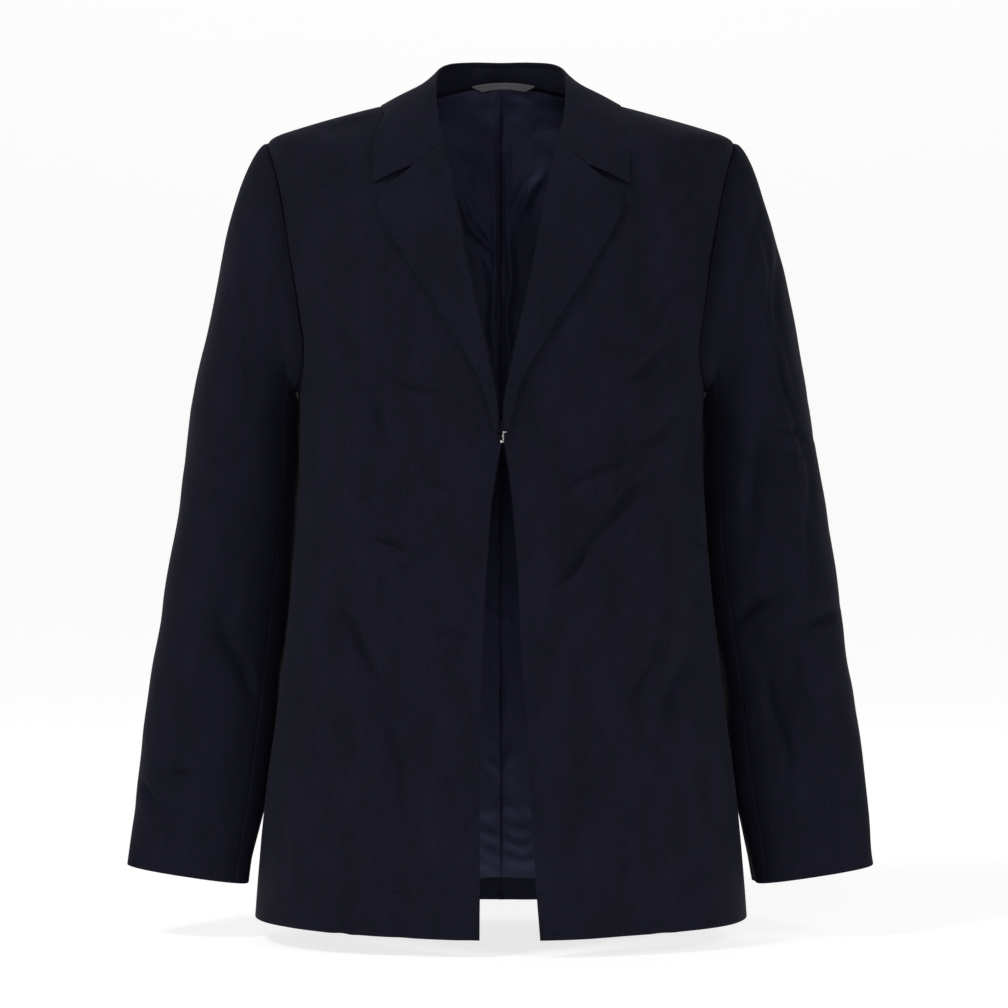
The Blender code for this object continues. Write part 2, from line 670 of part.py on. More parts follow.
def lower_sleeve(down, around):
    """The sleeve from the biceps (0) to the cuff (1): superellipses square to its slanting
    axis."""
    level = SLEEVE["z"][0] + down * (SLEEVE["z"][-1] - SLEEVE["z"][0])
    out, fore, half_width, half_depth, lean = sleeve_ring(level)
    cosine, sine = np.cos(around), np.sin(around)
    full = (np.abs(cosine) ** SLEEVE_SQUARE + np.abs(sine) ** SLEEVE_SQUARE) ** (-1 / SLEEVE_SQUARE)
    across = half_width * cosine * full - lean * np.maximum(sine, 0) ** 2
    return np.stack(
        [
            out + across * np.cos(SLEEVE_TILT),
            fore - half_depth * sine * full,
            level + across * np.sin(SLEEVE_TILT),
        ],
        -1,
    )


def armhole_loop(around):
    """The point of the armhole's edge where the sleeve at this angle is set in: the shoulder
    tip at 0, the front at pi/2, the underarm at pi."""
    turn = np.abs((around + pi) % (2 * pi) - pi)
    share = 1 - turn / pi
    front = armhole_edge(1, share.ravel()).reshape(share.shape + (2,))
    back = armhole_edge(-1, share.ravel()).reshape(share.shape + (2,))
    place = np.where((np.sin(around) >= 0)[..., None], front, back)
    return form(place[..., 0], place[..., 1]) + np.array([3 * SEAM, 0, 0])


def sleeve(down, around):
    """The whole sleeve, from the armhole (0) to the cuff (1). The head is a cubic Bezier from
    the armhole, which it leaves sideways, to the biceps, where it is already heading down."""
    down, around = np.broadcast_arrays(np.asarray(down, float), np.asarray(around, float))
    below = lower_sleeve(np.clip((down - HEAD_SHARE) / (1 - HEAD_SHARE), 0, 1), around)
    biceps = lower_sleeve(np.zeros_like(down), around)
    hole = armhole_loop(around)
    cosine, sine = np.cos(around), np.sin(around)
    drop = (hole - biceps)[..., 2]
    leave = np.stack([np.ones_like(down), -0.30 * sine, -0.04 - 0.06 * cosine], -1)
    leave = leave * (0.012 + 0.028 * np.clip(drop, 0, 1) + 0.008 * np.abs(sine))[..., None]
    slope = INNER_LEAN * ((1 - cosine) / 2) ** 2 - HEAD_LEAN
    arrive = np.stack([slope + 0 * down, 0 * down, 0 * down + 1.0], -1)
    arrive = arrive * (0.012 + 0.55 * np.clip(drop, 0, 1))[..., None]
    t = np.clip(down / HEAD_SHARE, 0, 1)[..., None]
    head = (
        (1 - t) ** 3 * hole
        + 3 * (1 - t) ** 2 * t * (hole + leave)
        + 3 * (1 - t) * t**2 * (biceps + arrive)
        + t**3 * biceps
    )
    return np.where((down < HEAD_SHARE)[..., None], head, below)


def sleeve_layer(down, around, side, depth):
    """Points of the sleeve's cloth with its folds, moved in by depth."""
    step = 1e-3
    base = sleeve(down, around)
    along = sleeve(np.minimum(down + step, 1), around) - sleeve(np.maximum(down - step, 0), around)
    across = sleeve(down, around + step) - sleeve(down, around - step)
    normal = unit(np.cross(across, along))
    face = np.where(np.sin(around) > 0, -1, 1)
    push = fold_height(SLEEVE_FOLDS, base[..., 0], base[..., 2], side, face)
    push = push * np.clip(np.abs(np.sin(around)) * 2.5, 0, 1)
    points = base + normal * (push - depth)[..., None]
    return points * np.array([side, 1, 1])


SLEEVE_ROWS = np.concatenate([np.linspace(0, HEAD_SHARE, 9), np.linspace(HEAD_SHARE, 1, 14)[1:]])


def build_sleeve(side, word, cloth):
    """The top sleeve, over the outside of the arm, and the under sleeve between its two seams."""
    spans = {
        "sleeve_top_": np.linspace(HIND_SEAM + SLEEVE_GAP, FORE_SEAM - SLEEVE_GAP, 14),
        "sleeve_under_": np.linspace(FORE_SEAM + SLEEVE_GAP, HIND_SEAM + 2 * pi - SLEEVE_GAP, 10),
    }
    for name, angles in spans.items():
        down, around = np.meshgrid(SLEEVE_ROWS, angles, indexing="ij")
        outer = sleeve_layer(down, around, side, 0)
        inner = sleeve_layer(down, around, side, SHELL)
        wall(name + word, outer, inner, cloth)


def main():
    for old in list(bpy.data.objects):
        bpy.data.objects.remove(old)
    cloth = finish("navy suiting", "1a1a26", 0.85)
    lining_cloth = finish("navy lining satin", "161620", 0.45)
    tape = finish("grey satin tape", "454449", 0.55)
    metal = finish("nickel-plated wire", "c8c8c4", 0.3, 1.0)
    for side, word in ((1, "left"), (-1, "right")):
        build_body(side, word, cloth, lining_cloth)
        build_lapel(side, word, cloth)
        build_sleeve(side, word, cloth)
    build_collar(cloth)
    build_label(tape)
    build_fastening(metal)


main()
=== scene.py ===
from math import pi

import bpy
import numpy as np
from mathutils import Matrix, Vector


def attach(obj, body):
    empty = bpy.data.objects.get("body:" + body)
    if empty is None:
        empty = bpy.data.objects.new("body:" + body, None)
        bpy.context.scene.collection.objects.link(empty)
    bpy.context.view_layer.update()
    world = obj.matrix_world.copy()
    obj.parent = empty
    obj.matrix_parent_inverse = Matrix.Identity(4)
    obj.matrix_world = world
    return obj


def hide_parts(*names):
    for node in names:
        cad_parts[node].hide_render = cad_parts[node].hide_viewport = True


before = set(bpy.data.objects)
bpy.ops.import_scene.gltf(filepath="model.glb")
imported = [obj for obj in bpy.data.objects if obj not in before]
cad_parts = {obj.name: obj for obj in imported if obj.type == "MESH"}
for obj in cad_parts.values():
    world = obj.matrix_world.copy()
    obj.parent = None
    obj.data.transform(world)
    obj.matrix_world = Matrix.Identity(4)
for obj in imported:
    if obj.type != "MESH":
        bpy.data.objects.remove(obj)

bl_info = {
    "name": "Open suit jacket",
    "version": (1, 0, 0),
    "blender": (4, 5, 0),
    "location": "View3D > Sidebar > Jacket",
    "description": "A long, open suit jacket of slubby navy cloth, filled out as if it were worn",
    "category": "Object",
}

# The jacket's own frame: metres, +Z up, the front faces -Y and the wearer's left is +X. The body
# pieces lie on one form, a stack of rings. A place on it is given by around, the angle from the
# centre back (0) over the side (pi/2) to the centre front (pi), and up, which grows from 0 at the
# hem along the cloth.

# The thicknesses of the walls, and the gap between two pieces.
SHELL, LINING, SEAM = 0.0016, 0.0010, 0.0003

# How far the inner layers lie below the outer face of the shell.
TURN_DEPTH = SHELL + SEAM
LINING_DEPTH = TURN_DEPTH + LINING + SEAM + 0.0004

# Levels on the form, as up: the fastening, the underarm, the shoulder's tip and the neck, and
# where the turned-up hem, the facing and the lining start.
BREAK_UP, UNDERARM_UP, TIP_UP, NECK_UP = 0.4060, 0.4500, 0.6680, 0.7950
TURN_INSET, FACING_HEM, LINING_HEM = 0.0015, 0.006, 0.020
SIDE_SEAM = pi / 2


def table(text):
    """A dictionary of named columns, from a line of names and rows of numbers. A column whose name
    ends in _mm is in millimetres in the text, and in metres in the dictionary."""
    names, *rows = text.strip().splitlines()
    columns = dict(zip(names.split(), np.array([row.split() for row in rows], float).T))
    return {
        name.removesuffix("_mm"): column / 1000 if name.endswith("_mm") else column
        for name, column in columns.items()
    }


# Rings of the form. half is the half width; front and back are the depths before and behind the
# ring's own middle line; square is the superellipse's power; rounding softens the turn at a ring.
FORM = table(
    """up_mm half_mm side_z_mm side_y_mm front_mm front_z_mm back_mm back_z_mm square rounding_mm
      0 210.4  -696 4 119 -701 110 -699 2.35 20
    100 202.2  -596 4 120 -601 108 -599 2.35 20
    190   190  -506 4 120 -511  98 -509 2.35 20
    300   177  -396 4 121 -400  84 -398 2.35 20
    400 171.5  -297 4 125 -299  88 -298 2.35 20
    460 174.5  -237 3 124 -239  94 -238 2.35 15
    530 183.5  -168 2 115 -170  99 -168 2.35 15
    600 193.5   -99 1 101 -118  98 -100  2.3 15
    668   203 -33.5 0  88  -90  89  -45  2.2  5
    715   151   -18 1  77  -74  80  -12 2.15 12
    764   100    -4 2  66  -62  71    8  2.1 10
    795    68     4 3  59  -54  62 20.5  2.1  4
    815    56    25 6  54  -48  57 40.5  2.2  4"""
)

# The edge of the armhole: how far it reaches round from the side, in radians, at each level.
ARMHOLE = table(
    """up_mm front back
    450     0     0
    453  0.13  0.13
    463  0.25 0.245
    483 0.305  0.31
    512 0.288 0.325
    560 0.246  0.29
    600 0.206 0.242
    634  0.16 0.184
    656 0.102 0.114
    665  0.05 0.054
    668     0     0"""
)
# About the radius of the form there.
ARMHOLE_RADIUS = 0.18

# The front edges below the fastening: how far each hangs from the middle. The wearer's right
# front hangs nearly straight, and the left one swings away.
FRONT_EDGE = table(
    """z_mm right_mm left_mm
      -710 18.7 33.5
    -665.5 18.2 30.1
    -598.8 18.7   26
    -528.9 17.1   22
    -458.9 15.5 17.1
    -402.8   13   15
    -346.6  8.8 10.5
      -310  3.2  6.2
      -290 -0.6  2.4"""
)

# The line on which each front folds back into its lapel, from the fastening to the neck.
ROLL_LINE = table(
    """x_mm z_mm
     1.6   -293
       2   -271
     9.6 -226.7
    20.1 -177.6
    27.8 -140.6
      35 -101.2
      44  -62.5
    48.3  -48.7
      52    -24"""
)

# The free edge of the lapel, from the fastening to its rounded tip.
LAPEL_EDGE = table(
    """x_mm z_mm
        3   -285
     17.5 -242.2
     35.2   -211
     56.8   -176
     80.8   -137
       96   -109
    101.2  -96.5
      100  -88.5"""
)
# The inner end of the seam between lapel and collar, and the notch.
GORGE_IN, NOTCH = (0.0483, -0.0492), (0.0714, -0.0668)

# The crease of the collar, from the centre back round to where the lapel takes over.
COLLAR_FOLD = table(
    """x_mm y_mm z_mm
       0  60   41
      28  56 40.8
      45  44   38
      54  24   31
    56.5   4 21.5
    56.2 -18    8
    54.8 -33 -6.5
      53 -46  -22"""
)
# Where the collar starts, on the neck seam and then on the roll line, as places on the form.
COLLAR_FOOT = table(
    """around up_mm
       0 795
     0.8 795
    1.57 795
    2.05 795"""
)
COLLAR_FOOT_FRONT = table(
    """x_mm z_mm
    51.8   -26
    48.3 -48.5"""
)
# The collar's free edge behind the shoulder as places on the form, and before it as seen from
# the front, down to its point.
COLLAR_EDGE = table(
    """around up_mm
       0 739
    0.75 742
    1.45 764
     1.9 753"""
)
COLLAR_EDGE_FRONT = table(
    """x_mm z_mm
    103.4 -33.8
    106.6 -56.7
      106 -78.6"""
)
# How high the collar lies above the form at its foot, about the radius of the form there, and
# at which share of the collar's length the stand ends.
COLLAR_LIFT, COLLAR_RADIUS, STAND_END = 0.0046, 0.08, 0.74

# The sleeve below its head: half widths across and along Y of its rings, from the biceps to the
# cuff, where each ring's middle lies, and how far its front leans in over the chest.
SLEEVE = table(
    """z_mm out_mm fore_mm half_width_mm half_depth_mm lean_mm rounding_mm
    -270 220.2 23 46.8   64 1 30
    -325 221.8 31 53.1 61.5 1 30
    -380 229.9 35 55.6   59 1 30
    -470 242.6 33 56.8   51 1 30
    -560 255.2 29 57.6   40 1 30
    -661   267  7 55.3   29 1 30"""
)
# The slant of the rings and their superellipse's power; how much the head and its inner side
# lean; the head's share of the sleeve; and the angles of the two seams.
SLEEVE_TILT, SLEEVE_SQUARE = 0.150, 2.4
HEAD_LEAN, INNER_LEAN, HEAD_SHARE = 0.185, 0.110, 0.36
FORE_SEAM, HIND_SEAM = 2.34, -1.80
# The head leaves the armhole forwards and down by these shares of its way out, and reaches out by
# a length, more for each metre of its drop and more before and behind. It comes down to the
# biceps from a height, more for each metre of its drop.
LEAVE_FORWARDS, LEAVE_DOWN, LEAVE_REACH = 0.30, (0.04, 0.06), (0.012, 0.028, 0.008)
ARRIVE_REACH = (0.012, 0.55)

# The largest folds of the cloth, seen from the front or the back: a row runs from one end to the
# other of a soft trough (negative) or ridge (positive) of this width and height.
BODY_FOLDS = table(
    """side face x0_mm z0_mm x1_mm z1_mm width_mm height_mm
    -1 -1 139 -310 101 -352  8    3
    -1 -1 134 -428  94 -505  9 -3.5
    -1 -1  94 -505  79 -610  9   -3
    -1 -1 111 -246  82 -312  8 -2.5
    -1 -1 150 -536 135 -556  8 -2.5
    -1 -1  90 -610  80 -695 14   -3
     1 -1 115 -330  75 -372  9 -3.5
     1 -1  75 -372  48 -412  9 -3.5
     1 -1 142 -220  95 -252  8 -2.5
     1 -1 146 -271  50 -334  8 -2.2
     1 -1 128 -448 103 -506  9   -3
     1 -1 152 -466 126 -522 10   -3
     1 -1 157 -637 130 -690 12 -2.8
    -1  1 120 -260  55 -330 10   -3
    -1  1 110 -420  60 -400 12 -2.8
     1  1 125 -280  60 -345 10   -3
     1  1 100 -405  50 -425 12 -2.8
     1  1  90 -560  70 -690 14 -2.8"""
)
SLEEVE_FOLDS = table(
    """side face x0_mm z0_mm x1_mm z1_mm width_mm height_mm
    -1 -1 239 -452 209 -507 10   -5
    -1 -1 311 -584 264 -612  8 -3.5
    -1 -1 291 -573 258 -577  9 -2.5
     1 -1 226 -491 245 -573  9   -4
     1 -1 199 -442 231 -425  9   -4
     1 -1 260 -452 287 -436  9   -3
     1 -1 220 -282 209 -376 12 -3.5
     1 -1 231 -282 265 -287  8 -2.5
    -1  1 210 -330 262 -360 10 -3.5
    -1  1 215 -430 275 -455 10   -4
     1  1 212 -345 266 -372 10 -3.5
     1  1 218 -445 270 -432 10   -4"""
)
LINING_CRUMPLES = table(
    """x0_mm z0_mm x1_mm z1_mm width_mm height_mm
     4 -664 150 -655 7 -2.2
     4 -640 110 -646 6   -2
     4 -615 130 -610 6 -1.8
    30 -585 120 -594 7 -1.8
     3  -10   3 -240 4 -2.6"""
)

# How many times finer the cloth's grids are than the solids'.
FINER = 8
LOWER_ROWS, ARM_ROWS, SHOULDER_ROWS = 12 * FINER, 9 * FINER, 5 * FINER


def finer(shares, times):
    """The same shares with each step cut into this many."""
    at = np.arange(0, len(shares) - 1 + 0.5 / times, 1 / times)
    return np.interp(at, np.arange(len(shares)), shares)


def rounded_line(knots, values, rounding, at):
    """The broken line through the knots with each corner eased, as a sum of softplus terms."""
    slope = np.diff(values) / np.diff(knots)
    line = values[0] + slope[0] * (at - knots[0])
    for k in range(1, len(knots) - 1):
        turn = slope[k] - slope[k - 1]
        line = line + turn * rounding[k] * np.logaddexp(0, (at - knots[k]) / rounding[k])
    return line


def hermite(knots, points, at):
    """A smooth curve through the points, as cubic Hermite pieces between their knots."""
    slopes = np.gradient(points, knots, axis=0)
    k = np.clip(np.searchsorted(knots, at, side="right") - 1, 0, len(knots) - 2)
    step = (knots[k + 1] - knots[k])[..., None]
    t = (at - knots[k])[..., None] / step
    return (
        (2 * t**3 - 3 * t**2 + 1) * points[k]
        + (t**3 - 2 * t**2 + t) * step * slopes[k]
        + (3 * t**2 - 2 * t**3) * points[k + 1]
        + (t**3 - t**2) * step * slopes[k + 1]
    )


def smooth_curve(points, at):
    """A smooth curve through the points, at from 0 to 1 of its length."""
    points = np.asarray(points, float)
    steps = np.linalg.norm(np.diff(points, axis=0), axis=1)
    knots = np.concatenate([[0], np.cumsum(steps)]) / steps.sum()
    return hermite(knots, points, np.asarray(at, float))


def unit(vectors):
    """The vectors, each divided by its length."""
    return vectors / np.linalg.norm(vectors, axis=-1, keepdims=True)


def ring_sizes(up):
    """The form's sizes at this level, each read from its eased broken line."""
    names = ("half", "side_z", "side_y", "front", "front_z", "back", "back_z", "square")
    return {n: rounded_line(FORM["up"], FORM[n], FORM["rounding"], up) for n in names}


def form(around, up):
    """A place on the form: |x/half|^p + |y/depth|^p = 1, with z easing from the side's to the
    front's or back's level as the square of the cosine of the angle."""
    around, up = np.broadcast_arrays(np.asarray(around, float), np.asarray(up, float))
    size = ring_sizes(up)
    sine, cosine = np.sin(around), np.cos(around)
    before = cosine < 0
    depth = np.where(before, size["front"], size["back"])
    level = np.where(before, size["front_z"], size["back_z"])
    power = size["square"]
    reach = (np.abs(sine / size["half"]) ** power + np.abs(cosine / depth) ** power) ** (-1 / power)
    height = size["side_z"] * sine**2 + level * cosine**2
    return np.stack([reach * sine, size["side_y"] + reach * cosine, height], -1)


def form_normal(around, up):
    """The outward normal of the form, from the cross product of its two slopes."""
    step = 1e-4
    along = form(around, up + step) - form(around, up - step)
    across = form(around + step, up) - form(around - step, up)
    return unit(np.cross(along, across))


def front_angle(x, up):
    """The angle at which the front of the form's ring at this level is x from the middle."""
    size = ring_sizes(up)
    depth = size["front"] * (1 - np.abs(x / size["half"]) ** size["square"]) ** (1 / size["square"])
    return pi - np.arctan2(x, depth)


def on_front(x, z):
    """The place on the front of the form, as around and up, that shows at x and z."""
    x, z = np.asarray(x, float), np.asarray(z, float)
    step = 1e-5
    up = np.clip(z + 0.70, 0, 0.78)
    for _ in range(60):
        height = form(front_angle(x, up), up)[..., 2]
        slope = (form(front_angle(x, up + step), up + step)[..., 2] - height) / step
        up = up - np.clip((height - z) / slope, -0.01, 0.01)
    return np.stack([front_angle(x, up), up], -1)


def fold_lines(folds, x, z, side, face):
    """The folds of a table that are on this side. For each, its row, the share of its length at
    which every point lies, the points' signed distances from its line, their distances past its
    ends, its length, and whether they are on its face of the jacket."""
    for k in range(len(folds["x0"])):
        row = {"number": k, **{name: column[k] for name, column in folds.items()}}
        if side is not None and row["side"] != side:
            continue
        along, down = row["x1"] - row["x0"], row["z1"] - row["z0"]
        length = np.hypot(along, down)
        from_x, from_z = x - row["x0"], z - row["z0"]
        share = (from_x * along + from_z * down) / length**2
        across = (from_x * down - from_z * along) / length
        beyond = np.maximum(np.maximum(-share, share - 1), 0) * length
        yield row, share, across, beyond, length, True if face is None else face * row["face"] > 0


def fold_height(folds, x, z, side=None, face=None):
    """The height of all folds at x and z: each falls off as a bell across its line and fades
    towards its two ends."""
    total = np.zeros(np.shape(x))
    for row, share, across, beyond, _, seen in fold_lines(folds, x, z, side, face):
        bell = np.exp(-(np.hypot(across, beyond) / row["width"]) ** 2)
        total += seen * row["height"] * bell * (0.35 + 0.65 * np.sin(pi * np.clip(share, 0, 1)))
    return total


def join_rows(first, last, shares):
    """Places in rows that run straight from each place of one edge to that of the other."""
    shares = np.asarray(shares)[None, :, None]
    return first[:, None] * (1 - shares) + last[:, None] * shares


def place_curve(places, radius, shares):
    """A smooth curve through places on the form, at shares of its length where the form has
    about this radius."""
    scale = np.array([radius, 1])
    return smooth_curve(places * scale, shares) / scale


def armhole_edge(face, shares):
    """The armhole's edge at these shares of its length from the underarm to the shoulder tip, on
    the front (1) or the back (-1), as places on the form."""
    reach = ARMHOLE["front"] if face > 0 else ARMHOLE["back"]
    around = SIDE_SEAM + face * reach
    return place_curve(np.stack([around, ARMHOLE["up"]], -1), ARMHOLE_RADIUS, shares)


def seam_angle(up):
    """Half the gap of a seam that runs up the side, as an angle round the form."""
    return 0.7 * SEAM / ring_sizes(up)["half"]


def side_edge(face):
    """The edge of a panel at the side: the side seam, the armhole and the shoulder seam."""
    seam_up = np.linspace(0, UNDERARM_UP, LOWER_ROWS + 1)[:-1]
    shoulder_up = np.linspace(TIP_UP, NECK_UP, SHOULDER_ROWS + 1)[1:]
    edge = np.concatenate(
        [
            np.stack([np.full(LOWER_ROWS, SIDE_SEAM), seam_up], -1),
            armhole_edge(face, np.linspace(0, 1, ARM_ROWS + 1)),
            np.stack([np.full(SHOULDER_ROWS, SIDE_SEAM), shoulder_up], -1),
        ]
    )
    edge[:, 0] += face * seam_angle(edge[:, 1])
    return edge


def front_inner_edge(side):
    """The edge of a front towards the middle: the free edge, then the roll line."""
    column = FRONT_EDGE["left"] if side > 0 else FRONT_EDGE["right"]
    free_up = np.linspace(0, BREAK_UP, LOWER_ROWS + 1)[:-1]
    heights = form(pi - 0.1, free_up)[:, 2]
    x = np.interp(heights, FRONT_EDGE["z"], column)
    free = np.stack([front_angle(x, free_up), free_up], -1)
    shares = np.linspace(0, 1, ARM_ROWS + SHOULDER_ROWS + 1)
    line = smooth_curve(np.stack([ROLL_LINE["x"], ROLL_LINE["z"]], -1), shares)
    line[0, 0] = column[-1]
    return np.concatenate([free, on_front(line[:, 0], line[:, 1])])


def back_inner_edge():
    """The centre back seam."""
    spans = ((0, UNDERARM_UP, LOWER_ROWS), (UNDERARM_UP, TIP_UP, ARM_ROWS))
    up = [np.linspace(low, high, rows + 1)[:-1] for low, high, rows in spans]
    up = np.concatenate([*up, np.linspace(TIP_UP, NECK_UP, SHOULDER_ROWS + 1)])
    return np.stack([0 * up, up], -1)


def raised(places, low):
    """The same places without the rows below this level, for a layer that ends above the hem."""
    places = places[np.searchsorted(places[:, 0, 1], low) - 1 :]
    share = (low - places[0, :, 1]) / (places[1, :, 1] - places[0, :, 1])
    start = places[0] + (places[1] - places[0]) * share[:, None]
    return np.concatenate([start[None], places[1:]])


def narrowed(places, first, last):
    """The same places with the first and last columns moved in by these shares of the way to
    their neighbours."""
    moved = places.copy()
    moved[:, 0] += (places[:, 1] - places[:, 0]) * first
    moved[:, -1] += (places[:, -2] - places[:, -1]) * last
    return moved


def collar_places(back, front, stations):
    """Places along one edge of the collar: a smooth curve through its places behind the
    shoulder and those seen from the front."""
    behind = np.stack([back["around"], back["up"]], -1)
    rows = np.concatenate([behind, on_front(front["x"], front["z"])])
    return place_curve(rows, COLLAR_RADIUS, stations)


def lifted(places, lift):
    """Points of the form moved out by lift."""
    around, up = places[..., 0], places[..., 1]
    return form(around, up) + form_normal(around, up) * np.asarray(lift)[..., None]


def collar_crease(foot):
    """The crease, above each place of the foot at the same angle about the neck: a smooth curve
    through its table that ends on the roll line."""
    last = lifted(foot[-1], COLLAR_LIFT)
    fold = np.concatenate([np.stack([COLLAR_FOLD[c] for c in "xyz"], -1), last[None]])
    angles = np.arctan2(fold[:, 0], fold[:, 1])
    base = form(foot[:, 0], foot[:, 1])
    return hermite(angles, fold, np.minimum(np.arctan2(base[:, 0], base[:, 1]), angles[-1]))


def both_sides(half):
    """Rows from the wearer's right, over the centre back, to the left, from those of the left."""
    return np.concatenate([(half * np.array([-1, 1, 1]))[:0:-1], half])


def sleeve_ring(z):
    """The middle and the half sizes of the sleeve's ring at this level."""
    knots = -SLEEVE["z"]
    names = ("out", "fore", "half_width", "half_depth", "lean")
    return [rounded_line(knots, SLEEVE[n], SLEEVE["rounding"], -z) for n in names]


def lower_sleeve(down, around):
    """The sleeve from the biceps (0) to the cuff (1): superellipses square to its slanting
    axis."""
    level = SLEEVE["z"][0] + down * (SLEEVE["z"][-1] - SLEEVE["z"][0])
    out, fore, half_width, half_depth, lean = sleeve_ring(level)
    cosine, sine = np.cos(around), np.sin(around)
    full = (np.abs(cosine) ** SLEEVE_SQUARE + np.abs(sine) ** SLEEVE_SQUARE) ** (-1 / SLEEVE_SQUARE)
    across = half_width * cosine * full - lean * np.maximum(sine, 0) ** 2
    return np.stack(
        [
            out + across * np.cos(SLEEVE_TILT),
            fore - half_depth * sine * full,
            level + across * np.sin(SLEEVE_TILT),
        ],
        -1,
    )


def armhole_loop(around):
    """The point of the armhole's edge where the sleeve at this angle is set in: the shoulder
    tip at 0, the front at pi/2, the underarm at pi."""
    turn = np.abs((around + pi) % (2 * pi) - pi)
    share = 1 - turn / pi
    front = armhole_edge(1, share.ravel()).reshape(share.shape + (2,))
    back = armhole_edge(-1, share.ravel()).reshape(share.shape + (2,))
    place = np.where((np.sin(around) >= 0)[..., None], front, back)
    return form(place[..., 0], place[..., 1])


def sleeve(down, around):
    """The whole sleeve, from the armhole (0) to the cuff (1). The head is a cubic Bezier from
    the armhole, which it leaves sideways, to the biceps, where it is already heading down."""
    down, around = np.broadcast_arrays(np.asarray(down, float), np.asarray(around, float))
    below = lower_sleeve(np.clip((down - HEAD_SHARE) / (1 - HEAD_SHARE), 0, 1), around)
    biceps = lower_sleeve(np.zeros_like(down), around)
    hole = armhole_loop(around)
    cosine, sine = np.cos(around), np.sin(around)
    drop = np.clip((hole - biceps)[..., 2], 0, 1)
    downwards = LEAVE_DOWN[0] + LEAVE_DOWN[1] * cosine
    leave = np.stack([np.ones_like(down), -LEAVE_FORWARDS * sine, -downwards], -1)
    reach = LEAVE_REACH[0] + LEAVE_REACH[1] * drop + LEAVE_REACH[2] * np.abs(sine)
    slope = INNER_LEAN * ((1 - cosine) / 2) ** 2 - HEAD_LEAN
    arrive = np.stack([slope + 0 * down, 0 * down, 0 * down + 1.0], -1)
    arrive = arrive * (ARRIVE_REACH[0] + ARRIVE_REACH[1] * drop)[..., None]
    t = np.clip(down / HEAD_SHARE, 0, 1)[..., None]
    head = (
        (1 - t) ** 3 * hole
        + 3 * (1 - t) ** 2 * t * (hole + leave * reach[..., None])
        + 3 * (1 - t) * t**2 * (biceps + arrive)
        + t**3 * biceps
    )
    return np.where((down < HEAD_SHARE)[..., None], head, below)


# Where the columns of the fronts and the backs lie, and which of them ends the facing and
# which row the turned-up hem.
FRONT_COLUMNS = finer(
    [0, 0.03, 0.09, 0.17, 0.26, 0.35, 0.45, 0.55, 0.65, 0.75, 0.84, 0.92, 1], FINER
)
BACK_COLUMNS = np.linspace(0, 1, 9 * FINER + 1)
FACING_COLUMN = 4 * FINER
TURN_ROWS = FINER

# Creases that are too fine for the solids. A row runs from one end of a crease to the other.
# Where sharp is over 0, the cloth stands up in a narrow ridge along one side of the trough.
FINE_BODY = table(
    """side face x0_mm z0_mm x1_mm z1_mm width_mm height_mm sharp
    -1 -1 139 -310 101 -352   4 -1.2 0.6
    -1 -1 112 -373  72 -384 4.5 -1.2 0.7
    -1 -1 134 -430  97 -497   4 -1.3 0.7
    -1 -1  97 -497  81 -575   5   -1 0.5
    -1 -1  81 -575  81 -622   5 -0.8 0.4
    -1 -1 116 -240  87 -309 4.5   -1 0.6
    -1 -1 111 -238  49 -259   4 -0.8 0.5
    -1 -1  71 -323  35 -337 3.5 -0.8 0.6
    -1 -1  63 -449  19 -454 3.5 -0.8 0.6
    -1 -1 159 -545 143 -565 3.5   -1 0.6
    -1 -1 143 -704 107 -682 2.5 -0.4 0.9
    -1 -1  93 -622  82 -706   8 -1.2 0.3
    -1 -1 150 -180 118 -226   7 -1.2 0.3
     1 -1 149 -208  99 -244   4 -1.1 0.6
     1 -1 154 -263 108 -306   4 -1.1 0.6
     1 -1 108 -306  52 -330   4   -1 0.6
     1 -1 121 -319  77 -368   4 -1.5 0.8
     1 -1  77 -368  50 -412 4.5 -1.3 0.7
     1 -1 132 -451 108 -512 4.5 -1.1 0.6
     1 -1 159 -467 132 -528   5 -1.1 0.6
     1 -1 153 -366 181 -386 3.5   -1 0.7
     1 -1 164 -648 134 -703   6   -1 0.4
     1 -1  72 -560  60 -640   8 -0.9 0.3
     1 -1 155 -150 120 -200   8   -1 0.3
    -1  1 120 -230  50 -290   5 -1.2 0.6
    -1  1 100 -330  45 -372 4.5 -1.2 0.6
    -1  1 110 -430  60 -405   5   -1 0.5
    -1  1 130 -560  95 -660   8   -1 0.4
     1  1 128 -250  70 -312   5 -1.2 0.6
     1  1  96 -345  40 -360 4.5 -1.2 0.6
     1  1 120 -455  65 -438   5   -1 0.5
     1  1  70 -600  60 -690   8 -0.9 0.4
     1  1 150 -110 100 -150   8   -1 0.3
    -1  1 148 -118 104 -160   8   -1 0.3"""
)
